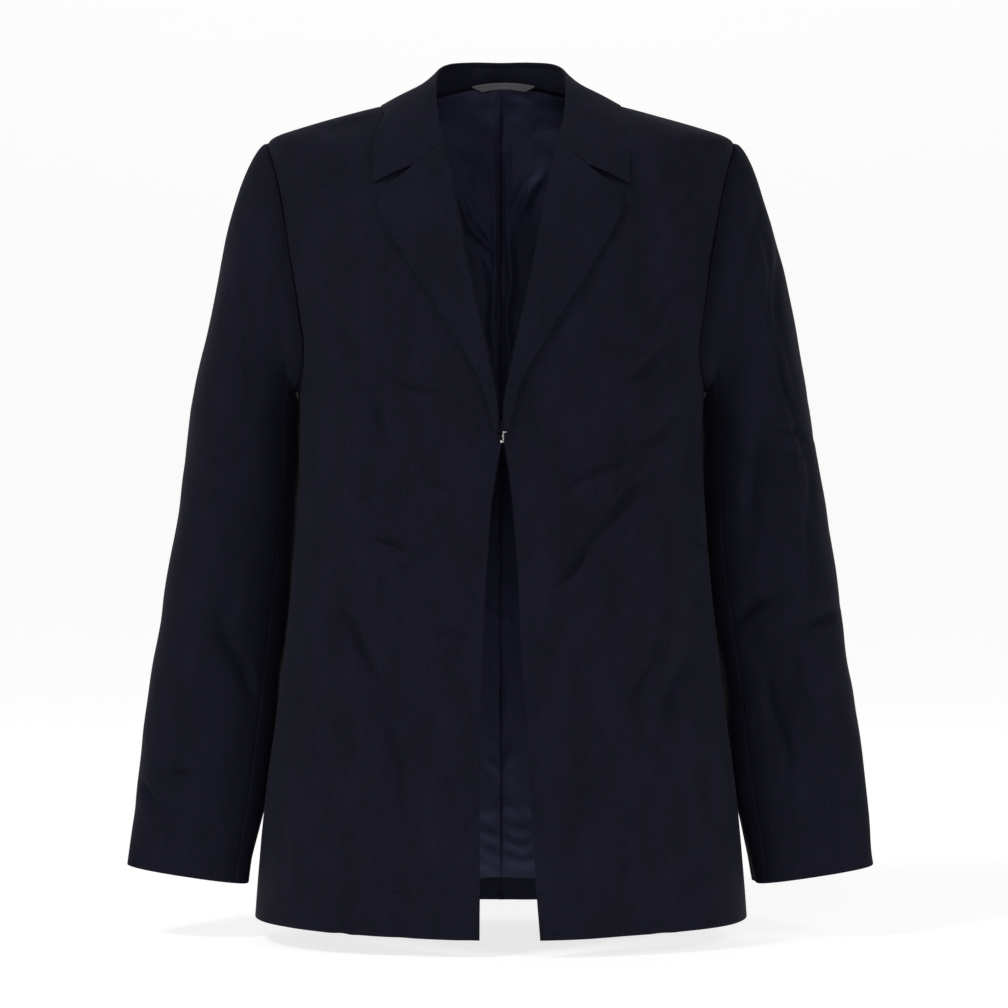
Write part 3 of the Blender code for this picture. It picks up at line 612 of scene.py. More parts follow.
FINE_SLEEVE = table(
    """side face x0_mm z0_mm x1_mm z1_mm width_mm height_mm sharp
    -1 -1 239 -452 211 -505 4.5 -2.2 0.8
    -1 -1 226 -400 234 -455   7 -1.2 0.4
    -1 -1 311 -584 295 -604 3.5 -1.8 0.8
    -1 -1 295 -604 262 -613 3.5 -1.6 0.8
    -1 -1 291 -573 258 -577   4 -1.4 0.7
    -1 -1 285 -530 250 -560   6   -1 0.4
    -1 -1 262 -310 242 -420   8   -1 0.3
    -1 -1 224 -180 208 -260   8 -1.2 0.3
    -1 -1 215  -95 203 -180   7   -1 0.3
     1 -1 226 -491 245 -573 4.5 -1.8 0.7
     1 -1 199 -442 231 -425   4 -1.8 0.8
     1 -1 260 -452 287 -436   4 -1.6 0.8
     1 -1 220 -282 209 -376   6 -1.6 0.5
     1 -1 231 -282 265 -287 3.5 -1.4 0.8
     1 -1 231 -306 262 -303 3.5 -1.2 0.8
     1 -1 240 -372 262 -392   4 -1.2 0.6
     1 -1 247 -470 262 -530   5 -1.2 0.5
     1 -1 270 -560 292 -610   6 -1.2 0.5
     1 -1 222 -110 232 -210 3.5   -1 0.6
     1 -1 229 -100 247 -250 3.5 -1.1 0.7
     1 -1 232 -170 256 -330 3.5 -1.1 0.7
     1 -1 240 -210 270 -400 3.5 -1.2 0.7
     1 -1 250 -330 275 -480   4 -1.1 0.6
     1 -1 215  -90 213 -170   5   -1 0.4
    -1  1 205 -300 258 -330 4.5 -1.6 0.7
    -1  1 212 -350 262 -352   4 -1.6 0.7
    -1  1 220 -440 275 -458 4.5 -1.4 0.6
    -1  1 230 -520 285 -505   5 -1.2 0.5
     1  1 207 -310 262 -342 4.5 -1.6 0.7
     1  1 214 -366 264 -362   4 -1.6 0.7
     1  1 224 -452 276 -432 4.5 -1.4 0.6
     1  1 236 -540 288 -520   5 -1.2 0.5"""
)
FINE_LINING = table(
    """x0_mm z0_mm x1_mm z1_mm width_mm height_mm sharp
      0   12   1   -4 2.6   -3 0.9
      0  -30   1 -230 2.6 -1.6 0.5
      0  -24   1  -38 2.4   -6 0.9
    -33  -98  -2 -120 3.5   -4 0.9
    -40  -70 -22 -105 4.5   -3 0.7
     36  -52  14  -88 4.5 -3.2 0.7
     12 -100   3 -190   4   -3 0.7
    -12 -125  -4 -210   4 -2.6 0.7
     -8 -432   3 -418   3   -3 0.9
    -10 -440  10 -452   3   -3 0.9
     -2 -470   4 -560 3.5   -3 0.7
    -12 -575   6 -590 3.5 -3.4 0.9
     10 -560  -6 -606 3.5 -3.4 0.9
    -18 -622  12 -615 3.2 -3.4 0.9
    -16 -640  20 -652 3.2 -3.4 0.9
    -20 -660  14 -664 2.8   -3 0.9
     50 -150  80 -300   6   -3 0.6
    -55 -140 -85 -280   6   -3 0.6
     90 -350  60 -500   7 -2.8 0.6
    -95 -360 -60 -480   7 -2.8 0.6"""
)
# Slow waves of the cloth over a whole panel: the way that a wave runs, as an angle from the
# horizontal, its length, where it starts and how high it is.
DRIFT = table(
    """angle length_mm start height_mm
      0.2 150   0  1.1
     1.25 210 1.3  1.2
    -0.85 118 2.1  0.7
     0.65  83   4  0.5
    -0.25  61 5.2 0.35
        1  44 0.7 0.22"""
)


# ---- Surfaces ----


def settings():
    """The two groups of settings that the panel shows."""
    return bpy.context.scene.jacket_cloth, bpy.context.scene.jacket_stage


def creases(folds, x, z, side=None, face=None):
    """The height of all fine creases at x and z. Across its line, which bends a little, each is a
    bell, with a narrower ridge along one side of it where it is sharp; along its line it swells
    and fades as a half sine. x is signed where side is None."""
    total = np.zeros(np.shape(x))
    for row, share, across, beyond, length, seen in fold_lines(folds, x, z, side, face):
        bend = 0.03 * length * np.sin(2.2 * pi * share + 1.7 * row["number"])
        off = (across + bend) / row["width"]
        ridge = -0.55 * row["sharp"] * np.exp(-(((off - 1.5) / 0.8) ** 2))
        fade = np.exp(-((beyond / (2 * row["width"])) ** 2))
        fade = fade * (0.25 + 0.75 * np.sin(pi * np.clip(share, 0, 1)) ** 0.8)
        total += seen * row["height"] * (np.exp(-(off**2)) + ridge) * fade
    return total


def drift(across, along, start=0.0):
    """Slow waves of the cloth, as a sum of sines that run in several directions, each bent a
    little by the one before."""
    total, bend = np.zeros(np.shape(across)), 0.0
    for k in range(len(DRIFT["angle"])):
        way = np.cos(DRIFT["angle"][k]) * across + np.sin(DRIFT["angle"][k]) * along
        wave = np.sin(2 * pi * way / DRIFT["length"][k] + DRIFT["start"][k] + start + bend)
        total, bend = total + DRIFT["height"][k] * wave, 0.8 * wave
    return total


def chords(points, axis):
    """Distances along the grid lines of this axis, from their first point."""
    steps = np.linalg.norm(np.diff(points, axis=axis), axis=-1)
    start = np.zeros_like(np.take(steps, [0], axis))
    return np.concatenate([start, np.cumsum(steps, axis)], axis)


def grid_normals(points, toward):
    """Unit normals of a grid, from the cross product of its slopes, on the side of toward."""
    normal = unit(np.cross(np.gradient(points, axis=0), np.gradient(points, axis=1)))
    return normal * np.sign((normal * toward).sum())


def folded(radius, back):
    """The profile of a folded edge: half a circle, then a short way back underneath. Lines are
    (outwards, below) in radii, and the last two in metres."""
    turn = np.linspace(0, pi, 8)[1:]
    return {"out": np.sin(turn), "below": 1 - np.cos(turn), "radius": radius, "back": back}


def tucked(depth, lap=0.0):
    """The profile of a seam: the cloth turns down into it, and then on under the other side by
    the lap, as a pressed seam allowance does."""
    out, below = [0.0, 0.0], [0.35, 1.0]
    if lap:
        out, below = out + [lap / depth], below + [1.05]
    return {"out": np.array(out), "below": np.array(below), "radius": depth, "back": 0.0}


def grow(points, normals, sunk, first, last):
    """The grid with the lines of these two edge profiles added before its first and after its
    last row."""
    before, after = [], []
    for lines_out, profile, edge, inner in ((before, first, 0, 1), (after, last, -1, -2)):
        if profile is None:
            continue
        radius = np.broadcast_to(profile["radius"], sunk[edge].shape)
        way = unit(points[edge] - points[inner])
        lines = [(out, below, 0.0) for out, below in zip(profile["out"], profile["below"])]
        if profile["back"]:
            lines += [(0.0, lines[-1][1], share * profile["back"]) for share in (0.3, 1.0)]
        for out, below, back in lines:
            deeper = np.maximum(below * radius - sunk[edge], 0)
            moved = points[edge] + way * (out * radius - back)[:, None]
            moved = moved - normals[edge] * deeper[:, None]
            lines_out.append((moved, normals[edge], sunk[edge] + deeper))
    whole = (points, normals, sunk)
    parts = [
        [line[k][None] for line in before[::-1]] + [whole[k]] + [line[k][None] for line in after]
        for k in range(3)
    ]
    return [np.concatenate(part) for part in parts]


def turned(array):
    """The grid with its rows as columns."""
    return np.swapaxes(array, 0, 1)


def dip(points, edges, depth, width):
    """How far the cloth sinks towards its seams: a bell of the distance from each."""
    total = np.zeros(points.shape[:2])
    for axis, at_start, at_end in ((0, edges[0], edges[1]), (1, edges[2], edges[3])):
        far = chords(points, axis)
        back = np.take(far, [-1], axis) - far
        for distance, is_seam in ((far, at_start), (back, at_end)):
            if is_seam is not None and not is_seam["back"]:
                total = np.maximum(total, depth * np.exp(-((distance / width) ** 2)))
    return total


def grow_all(points, toward, edges):
    """The grid with its four edge profiles, and its normals."""
    normals = grid_normals(points, toward)
    sunk = np.zeros(points.shape[:2])
    whole = grow(points, normals, sunk, edges[0], edges[1])
    points, normals, _ = grow(*(turned(part) for part in whole), edges[2], edges[3])
    return turned(points), turned(normals)


def cloth_piece(name, points, toward, edges, slot, sink=1.0):
    """A thin shell through the grid of points. Its edges are folded or tucked, and its seams sink
    by this share of the usual depth. The edges are profiles for the first and last row and the
    first and last column, or None."""
    cloth, _ = settings()
    rows, columns = chords(points, 0)[-1], chords(points, 1)[:, -1]
    sunk = dip(points, edges, sink * cloth.seam_depth, cloth.seam_width)
    points = points - grid_normals(points, toward) * sunk[..., None]
    points, normals = grow_all(points, toward, edges)
    piece = sheet_mesh(name, points, normals, slot_material(slot))
    dress(piece, name)


def sheet_mesh(name, points, toward, material):
    """A mesh of quads through the grid, with its distances along the cloth in metres as its UV
    map, so that a weave follows it."""
    rows, columns = points.shape[:2]
    index = np.arange(rows * columns).reshape(rows, columns)
    quads = [index[:-1, :-1], index[1:, :-1], index[1:, 1:], index[:-1, 1:]]
    faces = np.stack(quads, -1).reshape(-1, 4)
    corners = points.reshape(-1, 3)[faces]
    way = np.cross(corners[:, 2] - corners[:, 0], corners[:, 3] - corners[:, 1])
    if (way * toward.reshape(-1, 3)[faces[:, 0]]).sum() < 0:
        faces = faces[:, ::-1]
    mesh = bpy.data.meshes.new(name)
    mesh.vertices.add(rows * columns)
    mesh.vertices.foreach_set("co", points.ravel())
    mesh.loops.add(faces.size)
    mesh.loops.foreach_set("vertex_index", faces.ravel())
    mesh.polygons.add(len(faces))
    mesh.polygons.foreach_set("loop_start", np.arange(0, faces.size, 4))
    across, along = chords(points, 1), chords(points, 0)
    along = along - along[:1] + points[0, 0, 2]
    uv = np.stack([across, along], -1).reshape(-1, 2)
    layer = mesh.uv_layers.new(name="UVMap")
    layer.data.foreach_set("uv", uv[faces].ravel())
    mesh.update()
    mesh.validate()
    mesh.materials.append(material)
    mesh.shade_smooth()
    piece = bpy.data.objects.new(name, mesh)
    bpy.context.scene.collection.objects.link(piece)
    return piece


def dress(piece, node):
    """Hides the solid that the piece stands in for, and hangs the piece on the root body."""
    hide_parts(node)
    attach(piece, "root")


# About the radii of the body and the sleeve, by which their angles become distances; the share
# of the slow waves that is left where they stand outwards; and how far below the neck, or from
# the sleeve's own seam, they reach their whole height.
BODY_RADIUS, SLEEVE_RADIUS = 0.17, 0.05
BODY_SWELL, SLEEVE_SWELL = 0.6, 0.5
BODY_CALM, SLEEVE_CALM = 0.05, 0.06


def body_cloth(places, side, depth=0.0, fine=1.0, lift=0.0):
    """The body's cloth at these places: the form, its folds and fine creases, and the slow drift,
    which fades out at the side and under the collar."""
    cloth, _ = settings()
    around, up = places[..., 0], places[..., 1]
    base = form(around, up)
    face = np.where(np.cos(around) < 0, -1, 1)
    x, z = base[..., 0], base[..., 2]
    from_side = 3 * np.abs(np.cos(around))
    push = fold_height(BODY_FOLDS, x, z, side, face)
    push = push + fine * cloth.crease_share * creases(FINE_BODY, x, z, side, face)
    wander = drift(side * around * BODY_RADIUS, up, 1.0 + side * 0.6)
    wander = wander * cloth.drift_share * np.clip((NECK_UP - up) / BODY_CALM, 0, 1)
    push = push * np.clip(from_side, 0, 1)
    push = push + np.minimum(wander, BODY_SWELL * wander) * np.clip(from_side, 0.25, 1)
    points = base + form_normal(around, up) * (push - depth + lift)[..., None]
    return points * np.array([side, 1, 1])


def outward(points):
    """Roughly outwards from the middle of the body."""
    return points * np.array([1, 1, 0.15]) + np.array([0, 0, 0.02])


# ---- Materials ----

# The colour sockets of the node that mixes two values: its other sockets have the same names.
MIX_A, MIX_B, MIX_OUT = 6, 7, 2


def linear(hexcode):
    """A colour's sRGB hex value as linear light."""
    srgb = np.array([int(hexcode[k : k + 2], 16) for k in (0, 2, 4)]) / 255
    return tuple(np.where(srgb <= 0.04045, srgb / 12.92, ((srgb + 0.055) / 1.055) ** 2.4))


def feed(tree, node, inputs):
    """Sets a node's inputs, and links those that are given as another node's output."""
    for key, value in inputs.items():
        if isinstance(value, bpy.types.NodeSocket):
            tree.links.new(value, node.inputs[key])
        else:
            node.inputs[key].default_value = value


def add(tree, kind, inputs, out=0, **options):
    """Adds a shader node with its options and inputs, and gives one of its outputs."""
    node = tree.nodes.new("ShaderNode" + kind)
    for key, value in options.items():
        setattr(node, key, value)
    feed(tree, node, inputs)
    return node.outputs[out]


def new_material(name):
    """A material of this name, with its node tree and its shader."""
    material = bpy.data.materials.new(name)
    material.use_nodes = True
    return material, material.node_tree, material.node_tree.nodes["Principled BSDF"]


def suiting(name, colour):
    """Linen and viscose suiting, plain woven of uneven yarns: matt, with thick places in the yarns
    that show as faint short streaks across and down the cloth."""
    material, tree, shader = new_material(name)
    uv = add(tree, "TexCoord", {}, "UV")
    slubs = {"Scale": 1.0, "Detail": 2.0, "Roughness": 0.55}
    # Yarns 0.9 mm apart, twice the real pitch so that they show; slubs 12 to 20 mm long.
    weft = add(tree, "Mapping", {"Vector": uv, "Scale": (70, 1100, 1)})
    warp = add(tree, "Mapping", {"Vector": uv, "Scale": (1100, 55, 1)})
    across, down = (add(tree, "TexNoise", {"Vector": way, **slubs}) for way in (weft, warp))
    yarn = add(tree, "Math", {0: across, 1: down}, operation="ADD")
    point = add(tree, "TexCoord", {}, "Object")
    streak = add(tree, "Mapping", {"Vector": point, "Scale": (1.0, 1.0, 0.35)})
    clouds = {"Scale": 48.0, "Detail": 5.0, "Roughness": 0.6}
    cloud = add(tree, "TexNoise", {"Vector": streak, **clouds})
    tone = add(tree, "Math", {0: cloud, 1: 1.1, 2: yarn}, operation="MULTIPLY_ADD")
    share = add(tree, "MapRange", {"Value": tone, "From Min": 1.15, "From Max": 1.95})
    dark, light = ((*(level * c for c in colour), 1) for level in (0.58, 1.50))
    shade = add(tree, "Mix", {0: share, MIX_A: dark, MIX_B: light}, MIX_OUT, data_type="RGBA")
    bump = add(tree, "Bump", {"Height": yarn, "Strength": 0.5, "Distance": 0.0004})
    feed(tree, shader, {"Base Color": shade, "Normal": bump, "Roughness": 0.9})
    feed(tree, shader, {"Specular IOR Level": 0.14, "Sheen Weight": 0.04, "Sheen Roughness": 0.4})
    feed(tree, shader, {"Sheen Tint": (*linear("8c8ca0"), 1)})
    return material


def satin(name, colour):
    """Viscose lining satin: smooth long floats of yarn, so it has a soft, broad shine, and it keeps
    small crumples."""
    material, tree, shader = new_material(name)
    point = add(tree, "TexCoord", {}, "Object")
    stretch = add(tree, "Mapping", {"Vector": point, "Scale": (1.0, 1.0, 0.45)})
    crumples = {"Scale": 46.0, "Detail": 4.0, "Distortion": 0.6}
    crumple = add(tree, "TexNoise", {"Vector": stretch, **crumples})
    uv = add(tree, "TexCoord", {}, "UV")
    floats = add(tree, "Mapping", {"Vector": uv, "Scale": (1400, 90, 1)})
    weave = add(tree, "TexNoise", {"Vector": floats, "Scale": 1.0})
    soft = add(tree, "Bump", {"Height": crumple, "Strength": 0.5, "Distance": 0.005})
    shallow = {"Strength": 0.25, "Distance": 0.0002}
    fine = add(tree, "Bump", {"Height": weave, "Normal": soft, **shallow})
    feed(tree, shader, {"Base Color": (*colour, 1), "Normal": fine, "Roughness": 0.55})
    feed(tree, shader, {"Specular IOR Level": 0.22, "Sheen Weight": 0.03, "Sheen Roughness": 0.4})
    tints = {"Sheen Tint": (*linear("8080b4"), 1), "Specular Tint": (*linear("c8c8e8"), 1)}
    feed(tree, shader, tints)
    return material


def tape(name):
    """Woven polyester tape with a satin face: grey, with its fine weft across it."""
    material, tree, shader = new_material(name)
    uv = add(tree, "TexCoord", {}, "UV")
    weft = add(tree, "Mapping", {"Vector": uv, "Scale": (120, 2200, 1)})
    yarn = add(tree, "TexNoise", {"Vector": weft, "Scale": 1.0})
    dark, light = ((*linear(colour), 1) for colour in ("38373c", "6a696f"))
    shade = add(tree, "Mix", {0: yarn, MIX_A: dark, MIX_B: light}, MIX_OUT, data_type="RGBA")
    bump = add(tree, "Bump", {"Height": yarn, "Distance": 0.0002})
    feed(tree, shader, {"Base Color": shade, "Normal": bump, "Roughness": 0.5})
    feed(tree, shader, {"Specular IOR Level": 0.4, "Sheen Weight": 0.1})
    return material


def plating(name):
    """Nickel-plated brass wire, drawn and polished: bright, with faint marks of wear."""
    material, tree, shader = new_material(name)
    point = add(tree, "TexCoord", {}, "Object")
    marks = add(tree, "TexNoise", {"Vector": point, "Scale": 900.0, "Detail": 3.0})
    dark, light = ((*linear(colour), 1) for colour in ("a5a5a0", "e6e6e2"))
    shade = add(tree, "Mix", {0: marks, MIX_A: dark, MIX_B: light}, MIX_OUT, data_type="RGBA")
    wear = add(tree, "MapRange", {"Value": marks, "To Min": 0.16, "To Max": 0.34})
    feed(tree, shader, {"Base Color": shade, "Metallic": 1.0, "Roughness": wear})
    return material


def slot_material(slot):
    """The material of this slot, made once."""
    cloth, _ = settings()
    name, make, *colour = {
        "shell_cloth": ("slubby navy suiting", suiting, tuple(cloth.shell_colour)),
        "lining_cloth": ("navy viscose satin", satin, tuple(cloth.lining_colour)),
        "label_tape": ("woven satin tape", tape),
        "wire": ("nickel-plated wire", plating),
    }[slot]
    return bpy.data.materials.get(name) or make(name, *colour)


# ---- Properties ----


def number(name, description, default, low, high, unit="LENGTH"):
    """A setting that is one number."""
    return bpy.props.FloatProperty(
        name=name, description=description, default=default, min=low, max=high, unit=unit
    )


def swatch(name, description, hexcode):
    """A setting that is a colour."""
    return bpy.props.FloatVectorProperty(
        name=name, description=description, default=linear(hexcode), subtype="COLOR", min=0, max=1
    )


class JacketCloth(bpy.types.PropertyGroup):
    """Sizes and colours of the cloth."""

    edge: number("Edge", "Half the thickness of a pressed edge", 0.0010, 0.0004, 0.003)
    seam_depth: number("Seam depth", "How far the cloth sinks at a seam", 0.0007, 0, 0.004)
    seam_width: number("Seam width", "How far from a seam it starts to sink", 0.0022, 0.0005, 0.02)
    roll: number("Lapel roll", "Radius of the lapel's roll at the neck", 0.0030, 0.001, 0.01)
    crease_share: number("Creases", "Strength of the fine creases", 3.6, 0, 6, "NONE")
    drift_share: number("Drift", "Strength of the slow waves", 1.0, 0, 3, "NONE")
    shell_colour: swatch("Suiting", "Colour of the suiting", "11111f")
    lining_colour: swatch("Lining", "Colour of the lining", "2b2b40")


class JacketStage(bpy.types.PropertyGroup):
    """The camera, the floor and the lights."""

    distance: number("Distance", "From the camera to the jacket's middle plane", 2.4, 0.5, 10)
    eye: number("Eye height", "Height of the camera above the base of the neck", -0.345, -2, 2)
    lens: number("Lens", "Focal length of the camera", 100.0, 20, 300, "CAMERA")
    ambient: number("Ambient", "Light from all around", 0.12, 0, 3, "NONE")
    floor: number("Floor", "Height of the floor", -0.716, -2, 0)


# ---- Pieces ----

SIDES = ((1, "left"), (-1, "right"))

# The seams. Where two pieces meet, the one that is made first runs on under the other.
SHELL_UNDER, SHELL_OVER = tucked(0.0016, 0.0015), tucked(0.0012)
LINING_UNDER, LINING_OVER = tucked(0.0005, 0.0008), tucked(0.0003)
SLEEVE_HEAD, SLEEVE_SEAM = tucked(0.0012, 0.0025), tucked(0.0006)
FLAT_SEAM = tucked(0.001)

# How much of the shell's fine creases shows in the layers that lie on it or behind it.
LAPEL_CREASES, LINING_CREASES, TURN_CREASES = 0.4, 0.5, 0.3
# The sleeves' fine creases, as a share of the body's: they are more, and each is lower.
SLEEVE_CREASES = 0.55


def front_places(side):
    """A front: rows that run straight, round and up the form, from its inner edge to its side."""
    return join_rows(front_inner_edge(side), side_edge(1), FRONT_COLUMNS)


def back_places():
    """A back: the same from the centre back seam."""
    return join_rows(back_inner_edge(), side_edge(-1), BACK_COLUMNS)


class JACKET_OT_body(bpy.types.Operator):
    """Make the fronts and the backs"""

    bl_idname = "jacket.body"
    bl_label = "Fronts and backs"

    def execute(self, context):
        cloth, _ = settings()
        hem, free = folded(cloth.edge, 0.006), folded(cloth.edge, 0.005)
        for side, word in SIDES:
            centre = SHELL_UNDER if side > 0 else SHELL_OVER
            front, back = body_cloth(front_places(side), side), body_cloth(back_places(), side)
            for name, points, edges in (
                ("front_", front, (hem, None, free, SHELL_UNDER)),
                ("back_", back, (hem, None, centre, SHELL_OVER)),
            ):
                cloth_piece(name + word, points, outward(points), edges, "shell_cloth")
        return {"FINISHED"}


# Where the lapel's roll and its free edge start, by the fastening, and where its roll ends. How
# high the lapel lies on the front, and how much more in its middle.
ROLL_START, EDGE_START = (0.0022, -0.2860), (0.0046, -0.2856)
ROLL_END = (GORGE_IN[0] + 0.0003, GORGE_IN[1] + 0.0012)
LAPEL_REST, LAPEL_BELLY = SHELL + 0.0014, 0.0016
# The roll's radius by the fastening as a share of that at the neck, how soon it has grown to it,
# the most that it may be as a share of the lapel's width, and the gap below the roll.
ROLL_FIRST, ROLL_GROWTH, ROLL_MOST, ROLL_GAP = 0.35, 1.6, 0.3, 0.0010


def lapel_grid(side):
    """The lapel from inside the front, round the roll and over to its free edge. Across the roll
    it is an arc whose outermost point is on the roll line; beyond it the cloth lies on the front
    with a soft belly."""
    cloth, _ = settings()
    shares = np.linspace(0, 1, 161)
    roll = np.stack([ROLL_LINE["x"], ROLL_LINE["z"]], -1)[:-1]
    roll[0], roll[-1] = ROLL_START, ROLL_END
    inner = smooth_curve(roll, shares)
    edge = np.stack([LAPEL_EDGE["x"], LAPEL_EDGE["z"]], -1)
    edge[0] = EDGE_START
    outer = smooth_curve(edge, shares)
    across = unit(outer - inner)
    width = np.linalg.norm(outer - inner, axis=-1)
    grown = ROLL_FIRST + (1 - ROLL_FIRST) * np.clip(shares * ROLL_GROWTH, 0, 1)
    radius = np.minimum(cloth.roll * grown, ROLL_MOST * width)
    arc = np.linspace(-0.62 * pi, 0.5 * pi, 15)
    past = np.linspace(0, 1, 47)[1:]
    top = SEAM + SHELL + ROLL_GAP + 1.2 * radius
    flat = (width - radius)[:, None] * past
    away = np.concatenate([radius[:, None] * (1 - np.cos(arc)), radius[:, None] + flat], 1)
    settle = (1 - past) ** 1.6
    belly = LAPEL_BELLY * np.sin(pi * past) ** 1.5 * np.clip(width / 0.05, 0, 1)[:, None]
    lying = LAPEL_REST + (top[:, None] - LAPEL_REST) * settle + belly
    rising = (top - radius)[:, None] + radius[:, None] * np.sin(arc)
    seen = inner[:, None] + across[:, None] * away[..., None]
    places = on_front(seen[..., 0], seen[..., 1])
    return body_cloth(places, side, 0.0, LAPEL_CREASES, np.concatenate([rising, lying], 1))


class JACKET_OT_lapels(bpy.types.Operator):
    """Make the lapels and the facings behind them"""

    bl_idname = "jacket.lapels"
    bl_label = "Lapels and facings"

    def execute(self, context):
        cloth, _ = settings()
        gorge, free = folded(cloth.edge, 0.004), folded(cloth.edge, 0.006)
        for side, word in SIDES:
            lapel, on = lapel_grid(side), ["front_" + word]
            cloth_piece(
                "lapel_" + word, lapel, np.array([0, -1, 0]) + 0 * lapel,
                (None, gorge, None, free), "shell_cloth",
            )
            places = front_places(side)[:, : FACING_COLUMN + 1]
            places = narrowed(raised(places, FACING_HEM), 0.35, 0)
            facing = body_cloth(places, side, LINING_DEPTH, LINING_CREASES)
            cloth_piece(
                "facing_" + word, facing, -outward(facing),
                (FLAT_SEAM, None, None, FLAT_SEAM), "shell_cloth",
            )
        return {"FINISHED"}


# The leaf: how far its crease is above the solid's, how far down it the notch is, how high it
# lies on the shoulder at its edge, and how much more in its middle.
CREASE_RISE, NOTCH_SHARE = 0.0004, 0.45
LEAF_EDGE, LEAF_BELLY = COLLAR_LIFT - 0.0034, 0.0012
# The stand: how far it starts above the neck seam and inside the form, how far it ends below the
# leaf's crease, and how far it bows.
STAND_UP, STAND_IN, STAND_UNDER, STAND_BOW = 0.0010, 0.0016, 0.0026, 0.0012
# Turns the collar's outward direction up at the crease.
COLLAR_UPWARD = np.array([0, 0, 0.03])


def collar_grids():
    """The leaf and the stand. The leaf lies on the form but for a rise that brings it up to the
    crease; the stand is a smooth wall from the neck seam up to the inside of the crease."""
    stations = np.linspace(0, 1, 16 * FINER + 1)
    down = np.concatenate([np.linspace(0, 0.2, 16)[:-1], np.linspace(0.2, 1, 40)])
    foot = collar_places(COLLAR_FOOT, COLLAR_FOOT_FRONT, stations)
    edge = collar_places(COLLAR_EDGE, COLLAR_EDGE_FRONT, stations)
    rise = collar_crease(foot) - lifted(foot, COLLAR_LIFT) + np.array([0, 0, CREASE_RISE])
    places = join_rows(foot, edge, down)
    notch = on_front(NOTCH[0], NOTCH[1] + 2 * SEAM)
    end_line = np.where(
        (down < NOTCH_SHARE)[:, None],
        foot[-1] + (notch - foot[-1]) * (down / NOTCH_SHARE)[:, None],
        notch + (edge[-1] - notch) * ((down - NOTCH_SHARE) / (1 - NOTCH_SHARE))[:, None],
    )
    near_end = np.clip(stations * 4 - 3, 0, 1) ** 2
    places = places + near_end[:, None, None] * (end_line - places[-1])
    fade = (1 - down) ** 1.7
    lie = LEAF_EDGE + (COLLAR_LIFT - LEAF_EDGE) * (1 - down) + LEAF_BELLY * np.sin(pi * down)
    leaf = lifted(places, lie + 0 * places[..., 0]) + rise[:, None] * fade[:, None]
    leaf = both_sides(leaf)
    normal = grid_normals(leaf, outward(leaf) + COLLAR_UPWARD)
    count = int(STAND_END * len(stations)) + 1
    middle = len(stations) - 1
    under = (leaf - normal * STAND_UNDER)[middle : middle + count, 3]
    start = lifted(foot[:count] + np.array([0, STAND_UP]), np.full(count, -STAND_IN))
    rows = np.linspace(0, 1, 24)
    stand = start[:, None] * (1 - rows[:, None]) + under[:, None] * rows[:, None]
    bow = np.sin(pi * rows)[:, None] * STAND_BOW
    stand = stand - unit(start * np.array([1, 1, 0]))[:, None] * bow
    return leaf, both_sides(stand)


class JACKET_OT_collar(bpy.types.Operator):
    """Make the collar's leaf, with its rolled crease, and its stand"""

    bl_idname = "jacket.collar"
    bl_label = "Collar"

    def execute(self, context):
        cloth, _ = settings()
        leaf, stand = collar_grids()
        ends = folded(cloth.edge, 0.004)
        cloth_piece(
            "collar", leaf, outward(leaf) + COLLAR_UPWARD,
            (ends, ends, folded(0.0014, 0.007), folded(cloth.edge, 0.006)),
            "shell_cloth",
        )
        cloth_piece(
            "collar_stand", stand, -outward(stand), (None, None, FLAT_SEAM, None),
            "shell_cloth",
        )
        return {"FINISHED"}


# The gathers round the sleeve's head: their height, how far down they die out and how far from
# the seam they start.
GATHERS, GATHERS_DOWN, GATHERS_START = 0.00055, 0.016, 0.004
# The fullness under the arm: its height, its level, and how far it reaches down and round.
FULLNESS, FULLNESS_Z, FULLNESS_DOWN, FULLNESS_ROUND = 0.0026, -0.252, 0.024, 0.6
# The pull at the inner side of the cuff: its depth, from which level and over which length it
# grows, and how far it reaches round.
CUFF_PULL, CUFF_Z, CUFF_DOWN, CUFF_ROUND = 0.0035, -0.60, 0.05, 0.7


def sleeve_cloth(down, around, side):
    """The sleeve's cloth: its rings, its folds and creases, small gathers round the top of the
    head that die out below the seam, a fullness under the arm, a slow drift and a slight pull
    inwards at the inner side of the cuff."""
    cloth, _ = settings()
    step = 1e-3
    base = sleeve(down, around)
    along = sleeve(np.minimum(down + step, 1), around) - sleeve(np.maximum(down - step, 0), around)
    across = sleeve(down, around + step) - sleeve(down, around - step)
    normal = unit(np.cross(across, along))
    face = np.where(np.sin(around) > 0, -1, 1)
    x, z = base[..., 0], base[..., 2]
    push = fold_height(SLEEVE_FOLDS, x, z, side, face)
    push = push + SLEEVE_CREASES * cloth.crease_share * creases(FINE_SLEEVE, x, z, side, face)
    push = push * np.clip(np.abs(np.sin(around)) * 2.5, 0, 1)
    from_hole = chords(base, 0)
    top = np.clip(1.25 - np.abs(around) / 1.5, 0, 1) * np.clip(from_hole / GATHERS_START, 0, 1)
    gathers = np.sin(around * 21 + 1.3 * np.sin(around * 5)) * np.exp(-from_hole / GATHERS_DOWN)
    push = push + GATHERS * gathers * top
    low, round_inner = (z - FULLNESS_Z) / FULLNESS_DOWN, (around - pi) / FULLNESS_ROUND
    push = push + FULLNESS * np.exp(-(low**2) - round_inner**2)
    wander = drift(around * SLEEVE_RADIUS, z, 3.0 + side) * np.clip(from_hole / SLEEVE_CALM, 0, 1)
    push = push + cloth.drift_share * np.minimum(wander, SLEEVE_SWELL * wander)
    round_inner = (np.abs(around) - pi) / CUFF_ROUND
    push = push - CUFF_PULL * np.clip((CUFF_Z - z) / CUFF_DOWN, 0, 1) * np.exp(-(round_inner**2))
    return (base + normal * push[..., None]) * np.array([side, 1, 1])


